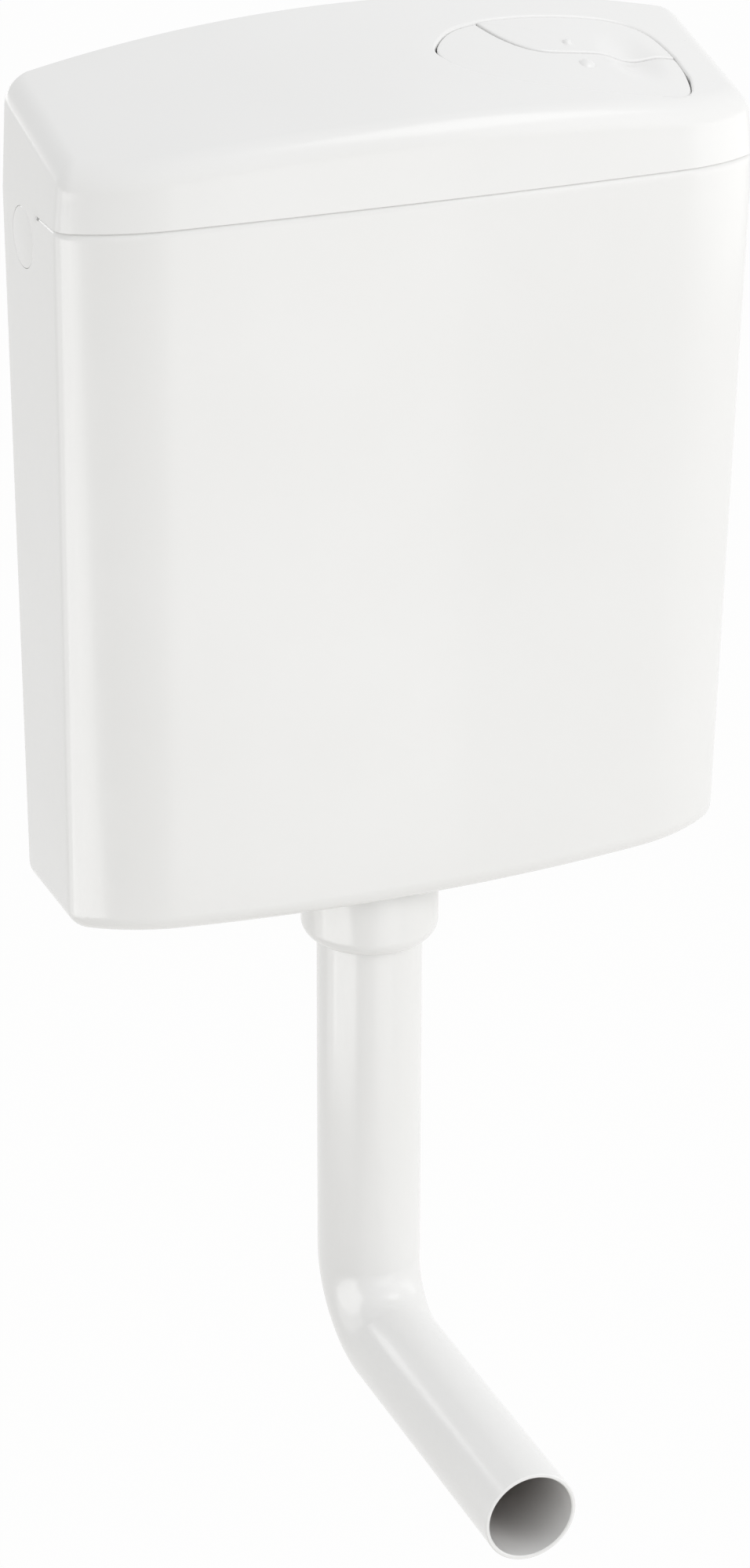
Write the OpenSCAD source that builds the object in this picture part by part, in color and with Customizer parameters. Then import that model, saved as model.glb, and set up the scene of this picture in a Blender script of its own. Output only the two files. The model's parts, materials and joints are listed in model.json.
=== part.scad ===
// Wall-hung toilet cistern with a two-part flush button and a flush bend.
// Millimetres. +Z is up, +Y points into the wall and the front faces -Y.
// The modules measure heights from the underside of the tank and depths from the wall.
// hung() then puts the origin midway between the two wall screws, on the wall.

/* [Tank] */
// Width of the tank at the seam under the lid
tank_top_w = 328; // [316:1:380]
// Width of the tank at its underside
tank_bottom_w = 324; // [310:1:376]
// Depth from the wall to the front at the seam
tank_top_d = 105; // [103:1:130]
// Depth from the wall to the front at the underside
tank_bottom_d = 92; // [91:1:120]
// Height of the seam at the sides
tank_h = 333; // [325:1:400]
// Wall thickness of the tank
tank_wall = 4; // [3:0.1:5]
// How far the front bows out at its middle
front_bow = 18; // [12:0.5:22]
// Radius of the upright front corners, next to the sides
corner_r = 13; // [12:0.5:18]
// Angle through which that radius turns
corner_turn = 54; // [45:1:60]
// Radius by which the corners run out into the bowed front
blend_r = 94; // [80:1:110]
// Radius of the edge round the underside
bottom_r = 10; // [7:0.5:12]
// Radius of the upright corners at the wall
rear_corner_r = 3; // [1:0.5:6]
// Rise of the seam at the middle of the front
seam_arch = 4.5; // [2:0.5:8]
// Height of the rounding on the front rim of the tank
rim_round_h = 3.6; // [2:0.2:5]
// Depth of the rounding on the front rim of the tank
rim_round_d = 2.2; // [1:0.1:2.6]
// Distance from the wall at which the shadow groove starts
reveal_start = 48; // [36:1:54]

/* [Wall fixing and inlets] */
// Distance between the two wall screws
hang_spacing = 150; // [130:1:160]
// Depth of the wall screws below the seam
hang_below_seam = 33; // [28:1:40]
// Diameter of the wall screw holes
hang_hole_d = 7; // [5:0.5:9]
// Depth of the side inlets below the seam
inlet_below_seam = 14.5; // [14:0.5:16]
// Distance of the side inlets from the wall
inlet_from_wall = 28.5; // [26:0.5:32]
// Diameter of the side inlet holes
inlet_hole_d = 22; // [21.4:0.1:23]
// Diameter of the blanking cap
cap_d = 27; // [25:0.5:28]
// Thickness of the blanking cap's face
cap_t = 1.6; // [1:0.1:2.2]
// How far the blanking cap's face stands out from the side
cap_proud = 0.5; // [0.2:0.1:1]

/* [Lid] */
// Height of the crown above the seam, at the wall
lid_rise = 66; // [60:1:76]
// Radius of the crown from side to side
crown_r = 700; // [600:10:1200]
// Fall of the lid's top for each millimetre towards the front
lid_slope = 0.285; // [0.24:0.005:0.3]
// Radius of the lid's top edge
lid_edge_r = 10; // [8:0.5:13]
// How far the lid's sides lean in
lid_lean = 2; // [1:0.25:3]
// Wall thickness of the lid
lid_wall = 3; // [2.4:0.1:3.4]
// Depth of the locating lip inside the tank
lip_depth = 7; // [4:0.5:9]
// Thickness of the locating lip
lip_wall = 2; // [1.5:0.1:2.5]
// Clearance between the lip and the tank
lip_gap = 0.8; // [0.6:0.1:1.2]
// Gap between the lid and the rim of the tank
seam_gap = 0.4; // [0.3:0.1:0.6]

/* [Buttons] */
// Distance of the leaf's right end from the lid's side
leaf_from_side = 28.3; // [25:0.1:32]
// Length of the leaf
leaf_l = 113.4; // [110:0.1:116]
// Distance of the leaf's rear edge from the wall
leaf_rear = 17.4; // [16:0.1:19]
// Width of the leaf from rear to front
leaf_w = 65.4; // [62:0.1:68]
// Gap between the buttons and the lid
leaf_gap = 0.8; // [0.6:0.1:1.2]
// Gap between the two buttons
split_gap = 1; // [0.9:0.1:1.4]
// Thickness of the button plates
button_t = 3; // [2.8:0.1:3.4]
// Depth of the full flush button below the lid's surface
full_sink = 1; // [0.5:0.1:1.2]
// Depth of the half flush button below the lid's surface
half_sink = 0.5; // [0.2:0.1:1]
// Height of the rim under the buttons' edges
button_rim_h = 5; // [4:0.25:5.5]
// Width of the finger dish
dish_w = 33; // [28:0.5:36]
// Length of the finger dish, front to rear
dish_l = 47; // [40:0.5:52]
// Depth of the finger dish
dish_depth = 3; // [1.5:0.25:3.5]
// Distance of the finger dish from the leaf's left tip
dish_from_tip = 91.7; // [88:0.1:94]
// Diameter of the raised dot on the full flush button
full_dot_d = 7.5; // [5:0.5:9]
// Diameter of the raised dot on the half flush button
half_dot_d = 4.5; // [3:0.5:6]
// Height of the raised dots
dot_h = 1.2; // [0.6:0.1:1.6]
// Distance of the full flush button's dot from the leaf's left tip
full_dot_from_tip = 66; // [60:0.5:70]
// Distance of the full flush button's dot from the wall
full_dot_from_wall = 56.7; // [55:0.1:60]
// Distance of the half flush button's dot from the leaf's left tip
half_dot_from_tip = 64.2; // [60:0.1:68]
// Distance of the half flush button's dot from the wall
half_dot_from_wall = 40; // [37:0.1:42]
// Distance of the hinge pin from the leaf's left tip
hinge_from_tip = 11.7; // [11:0.1:13]
// Diameter of the hinge pin
hinge_pin_d = 3; // [2.5:0.1:3.2]
// Distance from the hinge pin to the push rods
press_arm = 60; // [58:0.5:62]
// Diameter of the push rods
push_rod_d = 5; // [4:0.25:5.5]
// Diameter of the wire of the return springs
spring_wire = 1.1; // [0.9:0.1:1.2]
// Outer diameter of the return springs
spring_d = 11.6; // [11.4:0.1:12.4]
// Number of turns of the full flush spring
full_spring_turns = 4; // [3:0.5:4.5]
// Number of turns of the half flush spring
half_spring_turns = 6; // [4:0.5:7]

/* [Levers] */
// Distance from the lever pin to the push rods
lever_right_arm = 26; // [24:0.5:28]
// Distance of the levers' lifting ends from the valve's axis
lever_tip_from_axis = 3; // [2:0.25:4]
// Width of the levers
lever_w = 6; // [5:0.25:6.5]
// Diameter of the lever pin
lever_pin_d = 4; // [3:0.25:5]
// Thickness of the bridge plate
bridge_t = 3; // [2.5:0.1:4]
// Width of the bridge plate
bridge_w = 28; // [24:1:32]

/* [Flush valve] */
// Offset of the outlet from the middle of the tank
outlet_x = -9; // [-14:0.5:-6]
// Distance of the outlet from the wall
outlet_from_wall = 45; // [44:0.5:47]
// Outer diameter of the outlet thread
spigot_d = 59; // [57:0.5:60]
// Depth of the pocket for the back nut in the underside
pocket_h = 9; // [8:0.5:11]
// Diameter of the pocket for the back nut
pocket_d = 71; // [70:0.5:71]
// Thickness of the gasket under the valve
gasket_t = 3; // [2:0.25:4]
// Bore of the valve seat
seat_bore_d = 48; // [44:0.5:50]
// Height of the valve seat above the valve flange
seat_h = 10.5; // [9:0.5:12]
// Outer diameter of the lift tube
lift_tube_d = 24; // [22:0.5:24.5]
// Bore of the lift tube
lift_tube_bore = 20; // [17:0.5:20.5]
// Outer diameter of the valve cage
cage_d = 72; // [71:0.25:73]
// Height of the openings in the valve cage
cage_window_h = 50; // [40:1:60]
// Height of the float chamber of the valve cage
chamber_h = 130; // [126:1:150]
// Diameter of the half flush rod
half_rod_d = 4; // [3:0.25:4.5]

/* [Flush pipe] */
// Outer diameter of the upper limb
pipe_top_d = 50; // [48:0.5:51]
// Outer diameter of the lower limb
pipe_end_d = 45; // [42:0.5:48]
// Wall thickness of the pipe
pipe_wall = 2; // [1.5:0.1:2.2]
// Radius of the bend, to the middle of the pipe
bend_r = 37; // [34:0.5:60]
// Depth of the lower limb below the underside of the tank
pipe_drop = 244.5; // [180:0.5:400]
// Distance of the open end from the wall
pipe_reach = 238; // [180:1:400]
// Outer diameter of the coupling nut
collar_d = 65; // [64.5:0.1:68]
// Height of the coupling nut below the tank
collar_h = 35; // [34:0.5:40]
// Radius of the coupling nut's lower edge
collar_r = 8; // [4:0.5:8.5]

/* [Fill valve] */
// Outer diameter of the inlet thread
inlet_thread_d = 20.9; // [20.5:0.05:21]
// Bore of the inlet
inlet_bore_d = 10; // [8:0.5:11]
// Bore of the threaded mouth of the inlet
inlet_mouth_d = 15; // [14:0.25:16]
// Depth of the threaded mouth of the inlet
inlet_mouth_l = 12; // [9:0.5:13]
// How far the inlet stands out of the tank's side
inlet_proud = 9; // [8:0.5:12]
// Distance of the valve housing from the inner face of the tank's side
housing_from_side = 28; // [27:0.5:30]
// Diameter of the valve housing
housing_d = 30; // [28:0.5:31]
// Distance from the float arm's pin to the float rod
float_arm_l = 26; // [25:0.25:27]
// Rise of the float from empty to full
float_travel = 12; // [10:0.5:12.5]
// Diameter of the float rod
float_rod_d = 5; // [4:0.25:5.5]
// Width of the float
float_w = 52; // [44:1:54]
// Depth of the float, front to rear
float_d = 76; // [60:1:78]
// Height of the float
float_h = 46; // [36:1:54]
// Length of the discharge tube
discharge_l = 256; // [180:1:270]
// Outer diameter of the discharge tube
discharge_d = 14; // [12:0.25:15]

/* [Hidden] */
$fn = 64;

// Colours
white = [0.94, 0.94, 0.935];
natural = [0.86, 0.87, 0.85];
blue = [0.33, 0.53, 0.72];
grey = [0.62, 0.64, 0.66];
foam = [0.93, 0.92, 0.88];
rubber = [0.13, 0.13, 0.14];
steel = [0.74, 0.75, 0.77];

// Fits
slide_fit = 0.05;
pin_fit = 0.02;
loose_fit = 0.4;
clearance = 0.3;
overlap = 1;

// Heights and places worked out from the sizes above
hang_z = tank_h - hang_below_seam;
inlet_z = tank_h - inlet_below_seam;
floor_z = tank_wall;
valve_y = -outlet_from_wall;
leaf_left = tank_top_w / 2 - leaf_from_side - leaf_l;
leaf_mid_y = -(leaf_rear + leaf_w / 2);
hinge_x = leaf_left + hinge_from_tip;
hinge_z = tank_h + 42.5;
push_x = hinge_x + press_arm;
full_y = -62;
half_y = -27;
lever_x = push_x - lever_right_arm;
lever_left_arm = lever_x - outlet_x - lever_tip_from_axis;
lever_z = tank_h - 2;
carrier_z = tank_h + 14;
carrier_t = 2.5;

// Shared shapes
module hung() {
  translate([0, 0, -hang_z]) children();
}

module tube(r_out, r_in, z0, z1) {
  translate([0, 0, z0]) difference() {
    cylinder(r = r_out, h = z1 - z0);
    translate([0, 0, -overlap]) cylinder(r = r_in, h = z1 - z0 + 2 * overlap);
  }
}

module rod_z(r, z0, z1) {
  translate([0, 0, z0]) cylinder(r = r, h = z1 - z0);
}

module rod_y(r, y0, y1) {
  translate([0, y1, 0]) rotate([90, 0, 0]) cylinder(r = r, h = y1 - y0);
}

module rod_x(r, x0, x1) {
  translate([x0, 0, 0]) rotate([0, 90, 0]) cylinder(r = r, h = x1 - x0);
}

module box(x, y, z) {
  translate([x[0], y[0], z[0]]) cube([x[1] - x[0], y[1] - y[0], z[1] - z[0]]);
}

// A solid through a list of rings with the same number of points, listed from the side that faces
// down to the side that faces up. A cap is the flat ring itself, or a fan to a middle point.
module loft(rings, low_mid = undef, high_mid = undef) {
  n = len(rings[0]);
  last = (len(rings) - 1) * n;
  count = len(rings) * n;
  sides = [
    for (k = [0:len(rings) - 2]) for (i = [0:n - 1])
      let (j = (i + 1) % n, a = k * n + i, b = k * n + j)
        each [[a, a + n, b + n], [a, b + n, b]]
  ];
  low_cap = is_undef(low_mid)
    ? [[for (i = [0:n - 1]) i]]
    : [for (i = [0:n - 1]) [i, (i + 1) % n, count]];
  high_index = is_undef(low_mid) ? count : count + 1;
  high_cap = is_undef(high_mid)
    ? [[for (i = [n - 1:-1:0]) last + i]]
    : [for (i = [0:n - 1]) [last + (i + 1) % n, last + i, high_index]];
  mids = concat(is_undef(low_mid) ? [] : [low_mid], is_undef(high_mid) ? [] : [high_mid]);
  polyhedron(points = concat([for (r = rings) each r], mids), faces = concat(low_cap, sides, high_cap));
}

function lerp(a, b, t) = a + (b - a) * t;

// Outline of the tank and the lid
rear_steps = 5;
rear_corner_steps = 2;
corner_steps = 5;
blend_steps = 4;
bow_steps = 6;
least_corner_r = 0.5;
front_index = rear_steps + rear_corner_steps + 2;

// True for the points of an outline from the start of the shadow groove to the front
function is_front(i, n) = min(i, n - i) >= front_index;

function tank_w(z) = lerp(tank_bottom_w, tank_top_w, z / tank_h);
function tank_d(z) = lerp(tank_bottom_d, tank_top_d, z / tank_h);

// Plan of the tank seen from above: flat at the wall, bowed at the front, drawn in by inset
function outline(w, d, inset, rear_inset) =
  let (
    hw = w / 2 - inset,
    bow_r = (w * w / 4 + front_bow * front_bow) / (2 * front_bow),
    bow_y = bow_r - d,
    r = max(corner_r - inset, least_corner_r),
    run = blend_r - inset,
    cx = r - hw,
    run_x = cx + (run - r) * cos(corner_turn),
    run_y = bow_y - sqrt(pow(bow_r - blend_r, 2) - run_x * run_x),
    cy = run_y - (run - r) * sin(corner_turn),
    turn_end = 180 + corner_turn,
    join = 360 + atan2(run_y - bow_y, run_x),
    rc = rear_corner_r,
    mark = max(-reveal_start, cy + overlap),
    left = concat(
      [for (i = [0:rear_steps - 1]) [-(hw - rc) * i / rear_steps, -rear_inset]],
      [for (i = [0:rear_corner_steps]) let (a = 90 + 90 * i / rear_corner_steps)
        [rc - hw + rc * cos(a), -rear_inset - rc + rc * sin(a)]],
      [[-hw, mark + overlap], [-hw, mark]],
      [for (i = [0:corner_steps]) let (a = lerp(180, turn_end, i / corner_steps))
        [cx + r * cos(a), cy + r * sin(a)]],
      [for (i = [1:blend_steps]) let (a = lerp(turn_end, join, i / blend_steps))
        [run_x + run * cos(a), run_y + run * sin(a)]],
      [for (i = [1:bow_steps]) let (a = lerp(join, 270, i / bow_steps))
        [(bow_r - inset) * cos(a), bow_y + (bow_r - inset) * sin(a)]]
    )
  )
  concat(left, [for (i = [len(left) - 2:-1:1]) [-left[i].x, left[i].y]]);

// Height of the seam, which arches up across the front
function seam_z(p) =
  tank_h + (p.y < -tank_top_d / 2 ? seam_arch * max(0, 1 - pow(2 * p.x / tank_top_w, 2)) : 0);

// Height of the lid's top
function crown(p) = tank_h + lid_rise + lid_slope * p.y - p.x * p.x / (2 * crown_r);

function front_y(x, z) =
  let (w = tank_w(z), bow_r = (w * w / 4 + front_bow * front_bow) / (2 * front_bow))
  bow_r - tank_d(z) - sqrt(bow_r * bow_r - x * x);

function flat_ring(z, inset) = [for (p = outline(tank_w(z), tank_d(z), inset, inset)) [p.x, p.y, z]];

function rim_ring(front_inset, drop) =
  let (
    square = outline(tank_top_w, tank_top_d, 0, 0),
    round = outline(tank_top_w, tank_top_d, front_inset, 0)
  )
  [for (i = [0:len(square) - 1])
    let (p = is_front(i, len(square)) ? round[i] : square[i]) [p.x, p.y, seam_z(p) - drop]];

function at_seam(points, rise) = [for (p = points) [p.x, p.y, seam_z(p) + rise]];
function at_crown(points, rise) = [for (p = points) [p.x, p.y, crown(p) + rise]];
function at_lip(points) =
  [for (i = [0:len(points) - 1])
    let (p = points[i], rise = is_front(i, len(points)) ? -lip_depth : seam_gap - clearance)
    [p.x, p.y, seam_z(p) + rise]];
function lid_outline(inset, rear_inset) = outline(tank_top_w, tank_top_d, inset, rear_inset);
function towards_middle(points, s) = [for (p = points) [p.x * s, lerp(-tank_top_d / 2, p.y, s)]];

// Tank
floor_r = bottom_r - tank_wall;

function tank_rings() = concat(
  [for (a = [0:18:90]) flat_ring(bottom_r * (1 - cos(a)), bottom_r * (1 - sin(a)))],
  [rim_ring(0, rim_round_h), rim_ring(0.3 * rim_round_d, 0.3 * rim_round_h), rim_ring(rim_round_d, 0)],
  [at_seam(lid_outline(tank_wall, tank_wall), 0)],
  [for (a = [90:-30:0])
    flat_ring(floor_z + floor_r * (1 - cos(a)), tank_wall + floor_r * (1 - sin(a)))]
);

boss_top = pocket_h + tank_wall - 0.5;
boss_d = pocket_d + 8;
spigot_hole_d = spigot_d + 2 * clearance;

module at_outlet() {
  translate([outlet_x, valve_y, 0]) children();
}

module at_inlet(side) {
  translate([side * tank_w(inlet_z) / 2, -inlet_from_wall, inlet_z]) children();
}

// Ledges inside the front and rear walls that carry the lever bridge
bridge_z = tank_h - 17;
ledge_h = 5;
ledge_d = 7;

module bridge_ledges() {
  x = [lever_x - bridge_w / 2 - 2, lever_x + bridge_w / 2 + 2];
  front = front_y(x[1], bridge_z);
  inner = front_y(x[0], bridge_z) + tank_wall;
  box(x, [-tank_wall - ledge_d, -tank_wall / 2], [bridge_z - ledge_h, bridge_z]);
  box(x, [front + overlap, inner + ledge_d], [bridge_z - ledge_h, bridge_z]);
}

module inlet_hole(side) {
  at_inlet(side) {
    rod_x(inlet_hole_d / 2, -2 * tank_wall, 2 * tank_wall);
    rod_x(cap_d / 2 + clearance, side > 0 ? -cap_t : -overlap, side > 0 ? overlap : cap_t);
  }
}

module cistern_body() {
  color(white) hung() difference() {
    union() {
      loft(tank_rings(), [0, -tank_bottom_d / 2, 0], [0, -tank_bottom_d / 2, floor_z]);
      at_outlet() rod_z(boss_d / 2, tank_wall / 2, boss_top);
      bridge_ledges();
    }
    at_outlet() {
      rod_z(pocket_d / 2, -overlap, pocket_h);
      rod_z(spigot_hole_d / 2, -overlap, boss_top + overlap);
    }
    for (side = [-1, 1]) {
      inlet_hole(side);
      translate([side * hang_spacing / 2, 0, hang_z]) rod_y(hang_hole_d / 2, -tank_wall - overlap, overlap);
    }
  }
}

// Lid
ledge_rise = 7;
lip_inset = tank_wall + lip_gap;

function lid_inner_rings() =
  let (top = lid_outline(lid_lean + lid_edge_r, lid_wall))
  concat(
    [at_crown(towards_middle(top, 0.5), -lid_wall)],
    [for (a = [90:-30:0])
      at_crown(
        lid_outline(lid_lean + lid_wall + (lid_edge_r - lid_wall) * (1 - cos(a)), lid_wall),
        -lid_wall - (lid_edge_r - lid_wall) * (1 - sin(a)))],
    [at_seam(lid_outline(lid_wall, lid_wall), ledge_rise)],
    [at_seam(lid_outline(lip_inset + lip_wall, lip_inset + lip_wall), 2)],
    [at_lip(lid_outline(lip_inset + lip_wall, lip_inset + lip_wall))],
    [at_lip(lid_outline(lip_inset, lip_inset))],
    [at_seam(lid_outline(lip_inset, lip_inset), seam_gap)]
  );

function lid_outer_rings(drop) =
  let (top = lid_outline(lid_lean + lid_edge_r, 0))
  concat(
    [at_seam(lid_outline(0, 0), seam_gap)],
    [for (a = [0:15:90])
      at_crown(lid_outline(lid_lean + lid_edge_r * (1 - cos(a)), 0), -drop - lid_edge_r * (1 - sin(a)))],
    [for (s = [0.75, 0.5, 0.25]) at_crown(towards_middle(top, s), -drop)]
  );

lid_mid = [0, -tank_top_d / 2];
lid_low_mid = [lid_mid.x, lid_mid.y, crown(lid_mid) - lid_wall];
lid_high_mid = [lid_mid.x, lid_mid.y, crown(lid_mid)];

// Leaf-shaped outline of the two buttons: shares of the leaf's length from its tip and of its
// width from its rear edge. The first point and the point split_index are the ends of the split.
leaf_shape = [
  [1, 0.46], [0.96, 0.16], [0.845, 0.028], [0.66, 0], [0.44, 0.024], [0.244, 0.086], [0.094, 0.2],
  [0, 0.42], [0.06, 0.645], [0.22, 0.81], [0.49, 0.945], [0.8, 1], [0.932, 0.94], [0.987, 0.71]
];
split_index = 5;
leaf_steps = 3;
split_bend = [leaf_shape[split_index], [0.288, 0.284], [0.359, 0.46], [0.491, 0.46]];
split_bend_steps = 6;
split_run_steps = 8;

function leaf_point(p) = [leaf_left + p.x * leaf_l, -leaf_rear - p.y * leaf_w];

function spline(a, b, c, d, t) =
  0.5 * (2 * b + (c - a) * t + (2 * a - 5 * b + 4 * c - d) * t * t + (3 * b - a - 3 * c + d) * t * t * t);

function leaf_span(from, to) =
  let (n = len(leaf_shape))
  [for (k = [from:to - 1]) for (i = [0:leaf_steps - 1])
    leaf_point(spline(leaf_shape[(k + n - 1) % n], leaf_shape[k % n], leaf_shape[(k + 1) % n],
      leaf_shape[(k + 2) % n], i / leaf_steps))];

function bezier(p, t) =
  let (s = 1 - t) s * s * s * p[0] + 3 * s * s * t * p[1] + 3 * s * t * t * p[2] + t * t * t * p[3];

split_line = concat(
  [for (i = [0:split_bend_steps - 1]) leaf_point(bezier(split_bend, i / split_bend_steps))],
  [for (i = [0:split_run_steps]) leaf_point(lerp(split_bend[3], leaf_shape[0], i / split_run_steps))]
);

function unit(v) = v / norm(v);

// The split moved sideways, to the rear for a positive distance
function split_side(distance) =
  let (last = len(split_line) - 1)
  [for (i = [0:last])
    let (t = unit(split_line[min(i + 1, last)] - split_line[max(i - 1, 0)]))
    split_line[i] + distance * [-t.y, t.x]];

function reversed(list) = [for (i = [len(list) - 1:-1:0]) list[i]];
function inner(list) = [for (i = [1:len(list) - 1]) list[i]];

half_outline = concat(inner(leaf_span(0, split_index)), split_side(split_gap / 2));
full_outline = concat(inner(leaf_span(split_index, len(leaf_shape))), reversed(split_side(-split_gap / 2)));

// A closed outline moved outwards
function grown(loop, distance) =
  let (n = len(loop))
  [for (i = [0:n - 1])
    let (
      a = unit(loop[i] - loop[(i + n - 1) % n]),
      b = unit(loop[(i + 1) % n] - loop[i]),
      na = [a.y, -a.x],
      nb = [b.y, -b.x]
    )
    loop[i] + distance * (na + nb) / (1 + na * nb)];

leaf_opening = grown(leaf_span(0, len(leaf_shape)), leaf_gap);

// Screw bosses under the lid, round the leaf
boss_r = 4.5;
carrier_bosses = [
  [leaf_left - 4.3, -26], [leaf_left - 4.3, -66],
  [leaf_left + leaf_l + 10.3, -28], [leaf_left + leaf_l + 7.3, -64]
];
screw_r = 1.5;
screw_l = 13;
pilot_r = screw_r + pin_fit;

module lid() {
  color(white) hung() difference() {
    union() {
      loft(concat(lid_inner_rings(), lid_outer_rings(0)), lid_low_mid, lid_high_mid);
      intersection() {
        for (p = carrier_bosses) translate(p) rod_z(boss_r, carrier_z + carrier_t, tank_h + lid_rise);
        loft(lid_outer_rings(lid_wall / 2), undef, lid_high_mid - [0, 0, lid_wall / 2]);
      }
    }
    translate([0, 0, carrier_z]) linear_extrude(height = lid_rise) polygon(leaf_opening);
    for (p = carrier_bosses) translate(p) rod_z(pilot_r, carrier_z, carrier_z + screw_l);
  }
}

// Buttons
button_edge = 0.5;
full_dot_at = [leaf_left + full_dot_from_tip, -full_dot_from_wall];
half_dot_at = [leaf_left + half_dot_from_tip, -half_dot_from_wall];
dish_mid = [leaf_left + dish_from_tip, leaf_mid_y + 1];

// Depth of the finger dish at a point, with a smooth edge
function dish(p) =
  let (u = norm([2 * (p.x - dish_mid.x) / dish_w, 2 * (p.y - dish_mid.y) / dish_l]))
  u < 1 ? dish_depth * (1 + cos(180 * u)) / 2 : 0;

function shrunk(loop, mid, s) = [for (p = loop) lerp(mid, p, s)];
function at_button(points, drop) = [for (p = points) [p.x, p.y, crown(p) - dish(p) - drop]];
function at_rim(points) = [for (p = points) [p.x, p.y, crown(p) - button_rim_h]];

module button_shell(loop, mid, sink) {
  rim_in = 0.92;
  low = [mid.x, mid.y, crown(mid) - dish(mid) - sink - button_t];
  loft(
    concat(
      [for (s = [0.35, 0.65, rim_in]) at_button(shrunk(loop, mid, s), sink + button_t)],
      [at_rim(shrunk(loop, mid, rim_in)), at_rim(loop)],
      [at_button(loop, sink + button_edge), at_button(shrunk(loop, mid, 0.985), sink)],
      [for (s = [0.88, 0.76, 0.64, 0.52, 0.4, 0.28, 0.14]) at_button(shrunk(loop, mid, s), sink)]
    ),
    low,
    low + [0, 0, button_t]
  );
}

// Low dome that stands up from a button
module dot(p, d, sink) {
  r = (d * d / 4 + dot_h * dot_h) / (2 * dot_h);
  translate([p.x, p.y, crown(p) - dish(p) - sink]) rotate([atan(lid_slope), 0, 0]) intersection() {
    translate([0, 0, dot_h - r]) sphere(r = r);
    rod_z(d / 2, -button_t / 2, 2 * dot_h);
  }
}

push_boss_r = 4;
push_boss_h = 8;
socket_cover = 2.4;
push_pin_h = 5;
push_pin_r = push_rod_d / 2 - 1;

function push_top(y) = crown([push_x, y]) - dish([push_x, y]);

// Socket under a button that the push rod is pressed into
module push_socket(y) {
  top = push_top(y);
  translate([push_x, y, 0]) rod_z(push_boss_r, top - push_boss_h, top - socket_cover);
}

module push_bore(y) {
  bottom = push_top(y) - push_boss_h;
  translate([push_x, y, 0]) rod_z(push_pin_r + pin_fit, bottom - overlap, bottom + push_pin_h);
}

hinge_lug_r = 3;
full_lugs = [[-56, -52], [-48, -44]];
half_lug = [-38, -33];
carrier_ears = [[-51.5, -48.5], [-32.5, -29.5]];
pin_bore_r = hinge_pin_d / 2 + slide_fit;

module hinge_lug(y, top) {
  translate([hinge_x, 0, hinge_z]) rod_y(hinge_lug_r, y[0], y[1]);
  box([hinge_x - hinge_lug_r, hinge_x + hinge_lug_r], y, [hinge_z, top]);
}

module hinge_bore() {
  translate([hinge_x, 0, hinge_z]) rod_y(pin_bore_r, -leaf_rear - leaf_w, -leaf_rear);
}

module full_flush_button() {
  mid = [leaf_left + 0.36 * leaf_l, -leaf_rear - 0.68 * leaf_w];
  color(white) hung() difference() {
    union() {
      button_shell(full_outline, mid, full_sink);
      dot(full_dot_at, full_dot_d, full_sink);
      push_socket(full_y);
      for (y = full_lugs) hinge_lug(y, crown([hinge_x, (y[0] + y[1]) / 2]) - socket_cover);
    }
    hinge_bore();
    push_bore(full_y);
  }
}

// The half flush button hinges on the same pin, by an arm that runs under the full flush button
arm_h = 6;
arm_post = [leaf_left + 39, leaf_left + 46];

module half_flush_button() {
  mid = [leaf_left + 0.64 * leaf_l, -leaf_rear - 0.26 * leaf_w];
  arm_mid_y = (half_lug[0] + half_lug[1]) / 2;
  post_top = crown([arm_post[1], arm_mid_y]) - socket_cover;
  color(white) hung() difference() {
    union() {
      button_shell(half_outline, mid, half_sink);
      dot(half_dot_at, half_dot_d, half_sink);
      push_socket(half_y);
      translate([hinge_x, 0, hinge_z]) rod_y(hinge_lug_r, half_lug[0], half_lug[1]);
      box([hinge_x, arm_post[1]], half_lug, [hinge_z - hinge_lug_r, hinge_z - hinge_lug_r + arm_h]);
      box(arm_post, half_lug, [hinge_z - hinge_lug_r, post_top]);
    }
    hinge_bore();
    push_bore(half_y);
  }
}

module button_hinge_pin() {
  color(steel) hung() translate([hinge_x, 0, hinge_z])
    rod_y(hinge_pin_d / 2, full_lugs[0][0] - 0.5, carrier_ears[1][1] + 0.5);
}

// Plate under the lid that carries the hinge pin and the springs
carrier_x = [leaf_left - 10.3, leaf_left + leaf_l + 16.3];
carrier_y = [-72, -20];
rod_slot_l = 8.4;
rod_slot_w = 6.4;
rod_slot_shift = -0.9;

module rod_slot(y) {
  for (dx = [-1, 1])
    translate([push_x + rod_slot_shift + dx * (rod_slot_l - rod_slot_w) / 2, y, carrier_z])
      rod_z(rod_slot_w / 2, -overlap, carrier_t + overlap);
  translate([push_x + rod_slot_shift, y, carrier_z])
    box([-(rod_slot_l - rod_slot_w) / 2, (rod_slot_l - rod_slot_w) / 2], [-rod_slot_w / 2, rod_slot_w / 2],
      [-overlap, carrier_t + overlap]);
}

module button_carrier() {
  color(natural) hung() difference() {
    union() {
      box(carrier_x, carrier_y, [carrier_z, carrier_z + carrier_t]);
      for (y = carrier_ears) {
        box([hinge_x - 5, hinge_x + 5], y, [carrier_z + carrier_t / 2, hinge_z - 8]);
        box([hinge_x - hinge_lug_r, hinge_x + hinge_lug_r], y, [hinge_z - 9, hinge_z]);
        translate([hinge_x, 0, hinge_z]) rod_y(hinge_lug_r, y[0], y[1]);
      }
    }
    translate([hinge_x, 0, hinge_z]) rod_y(hinge_pin_d / 2 + pin_fit, carrier_y[0], carrier_y[1]);
    rod_slot(full_y);
    rod_slot(half_y);
    for (p = carrier_bosses)
      translate(p) rod_z(screw_r + clearance, carrier_z - overlap, carrier_z + 2 * carrier_t);
    box([leaf_left + 25, leaf_left + 55], [-60, -34], [carrier_z - overlap, carrier_z + 2 * carrier_t]);
  }
}

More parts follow.
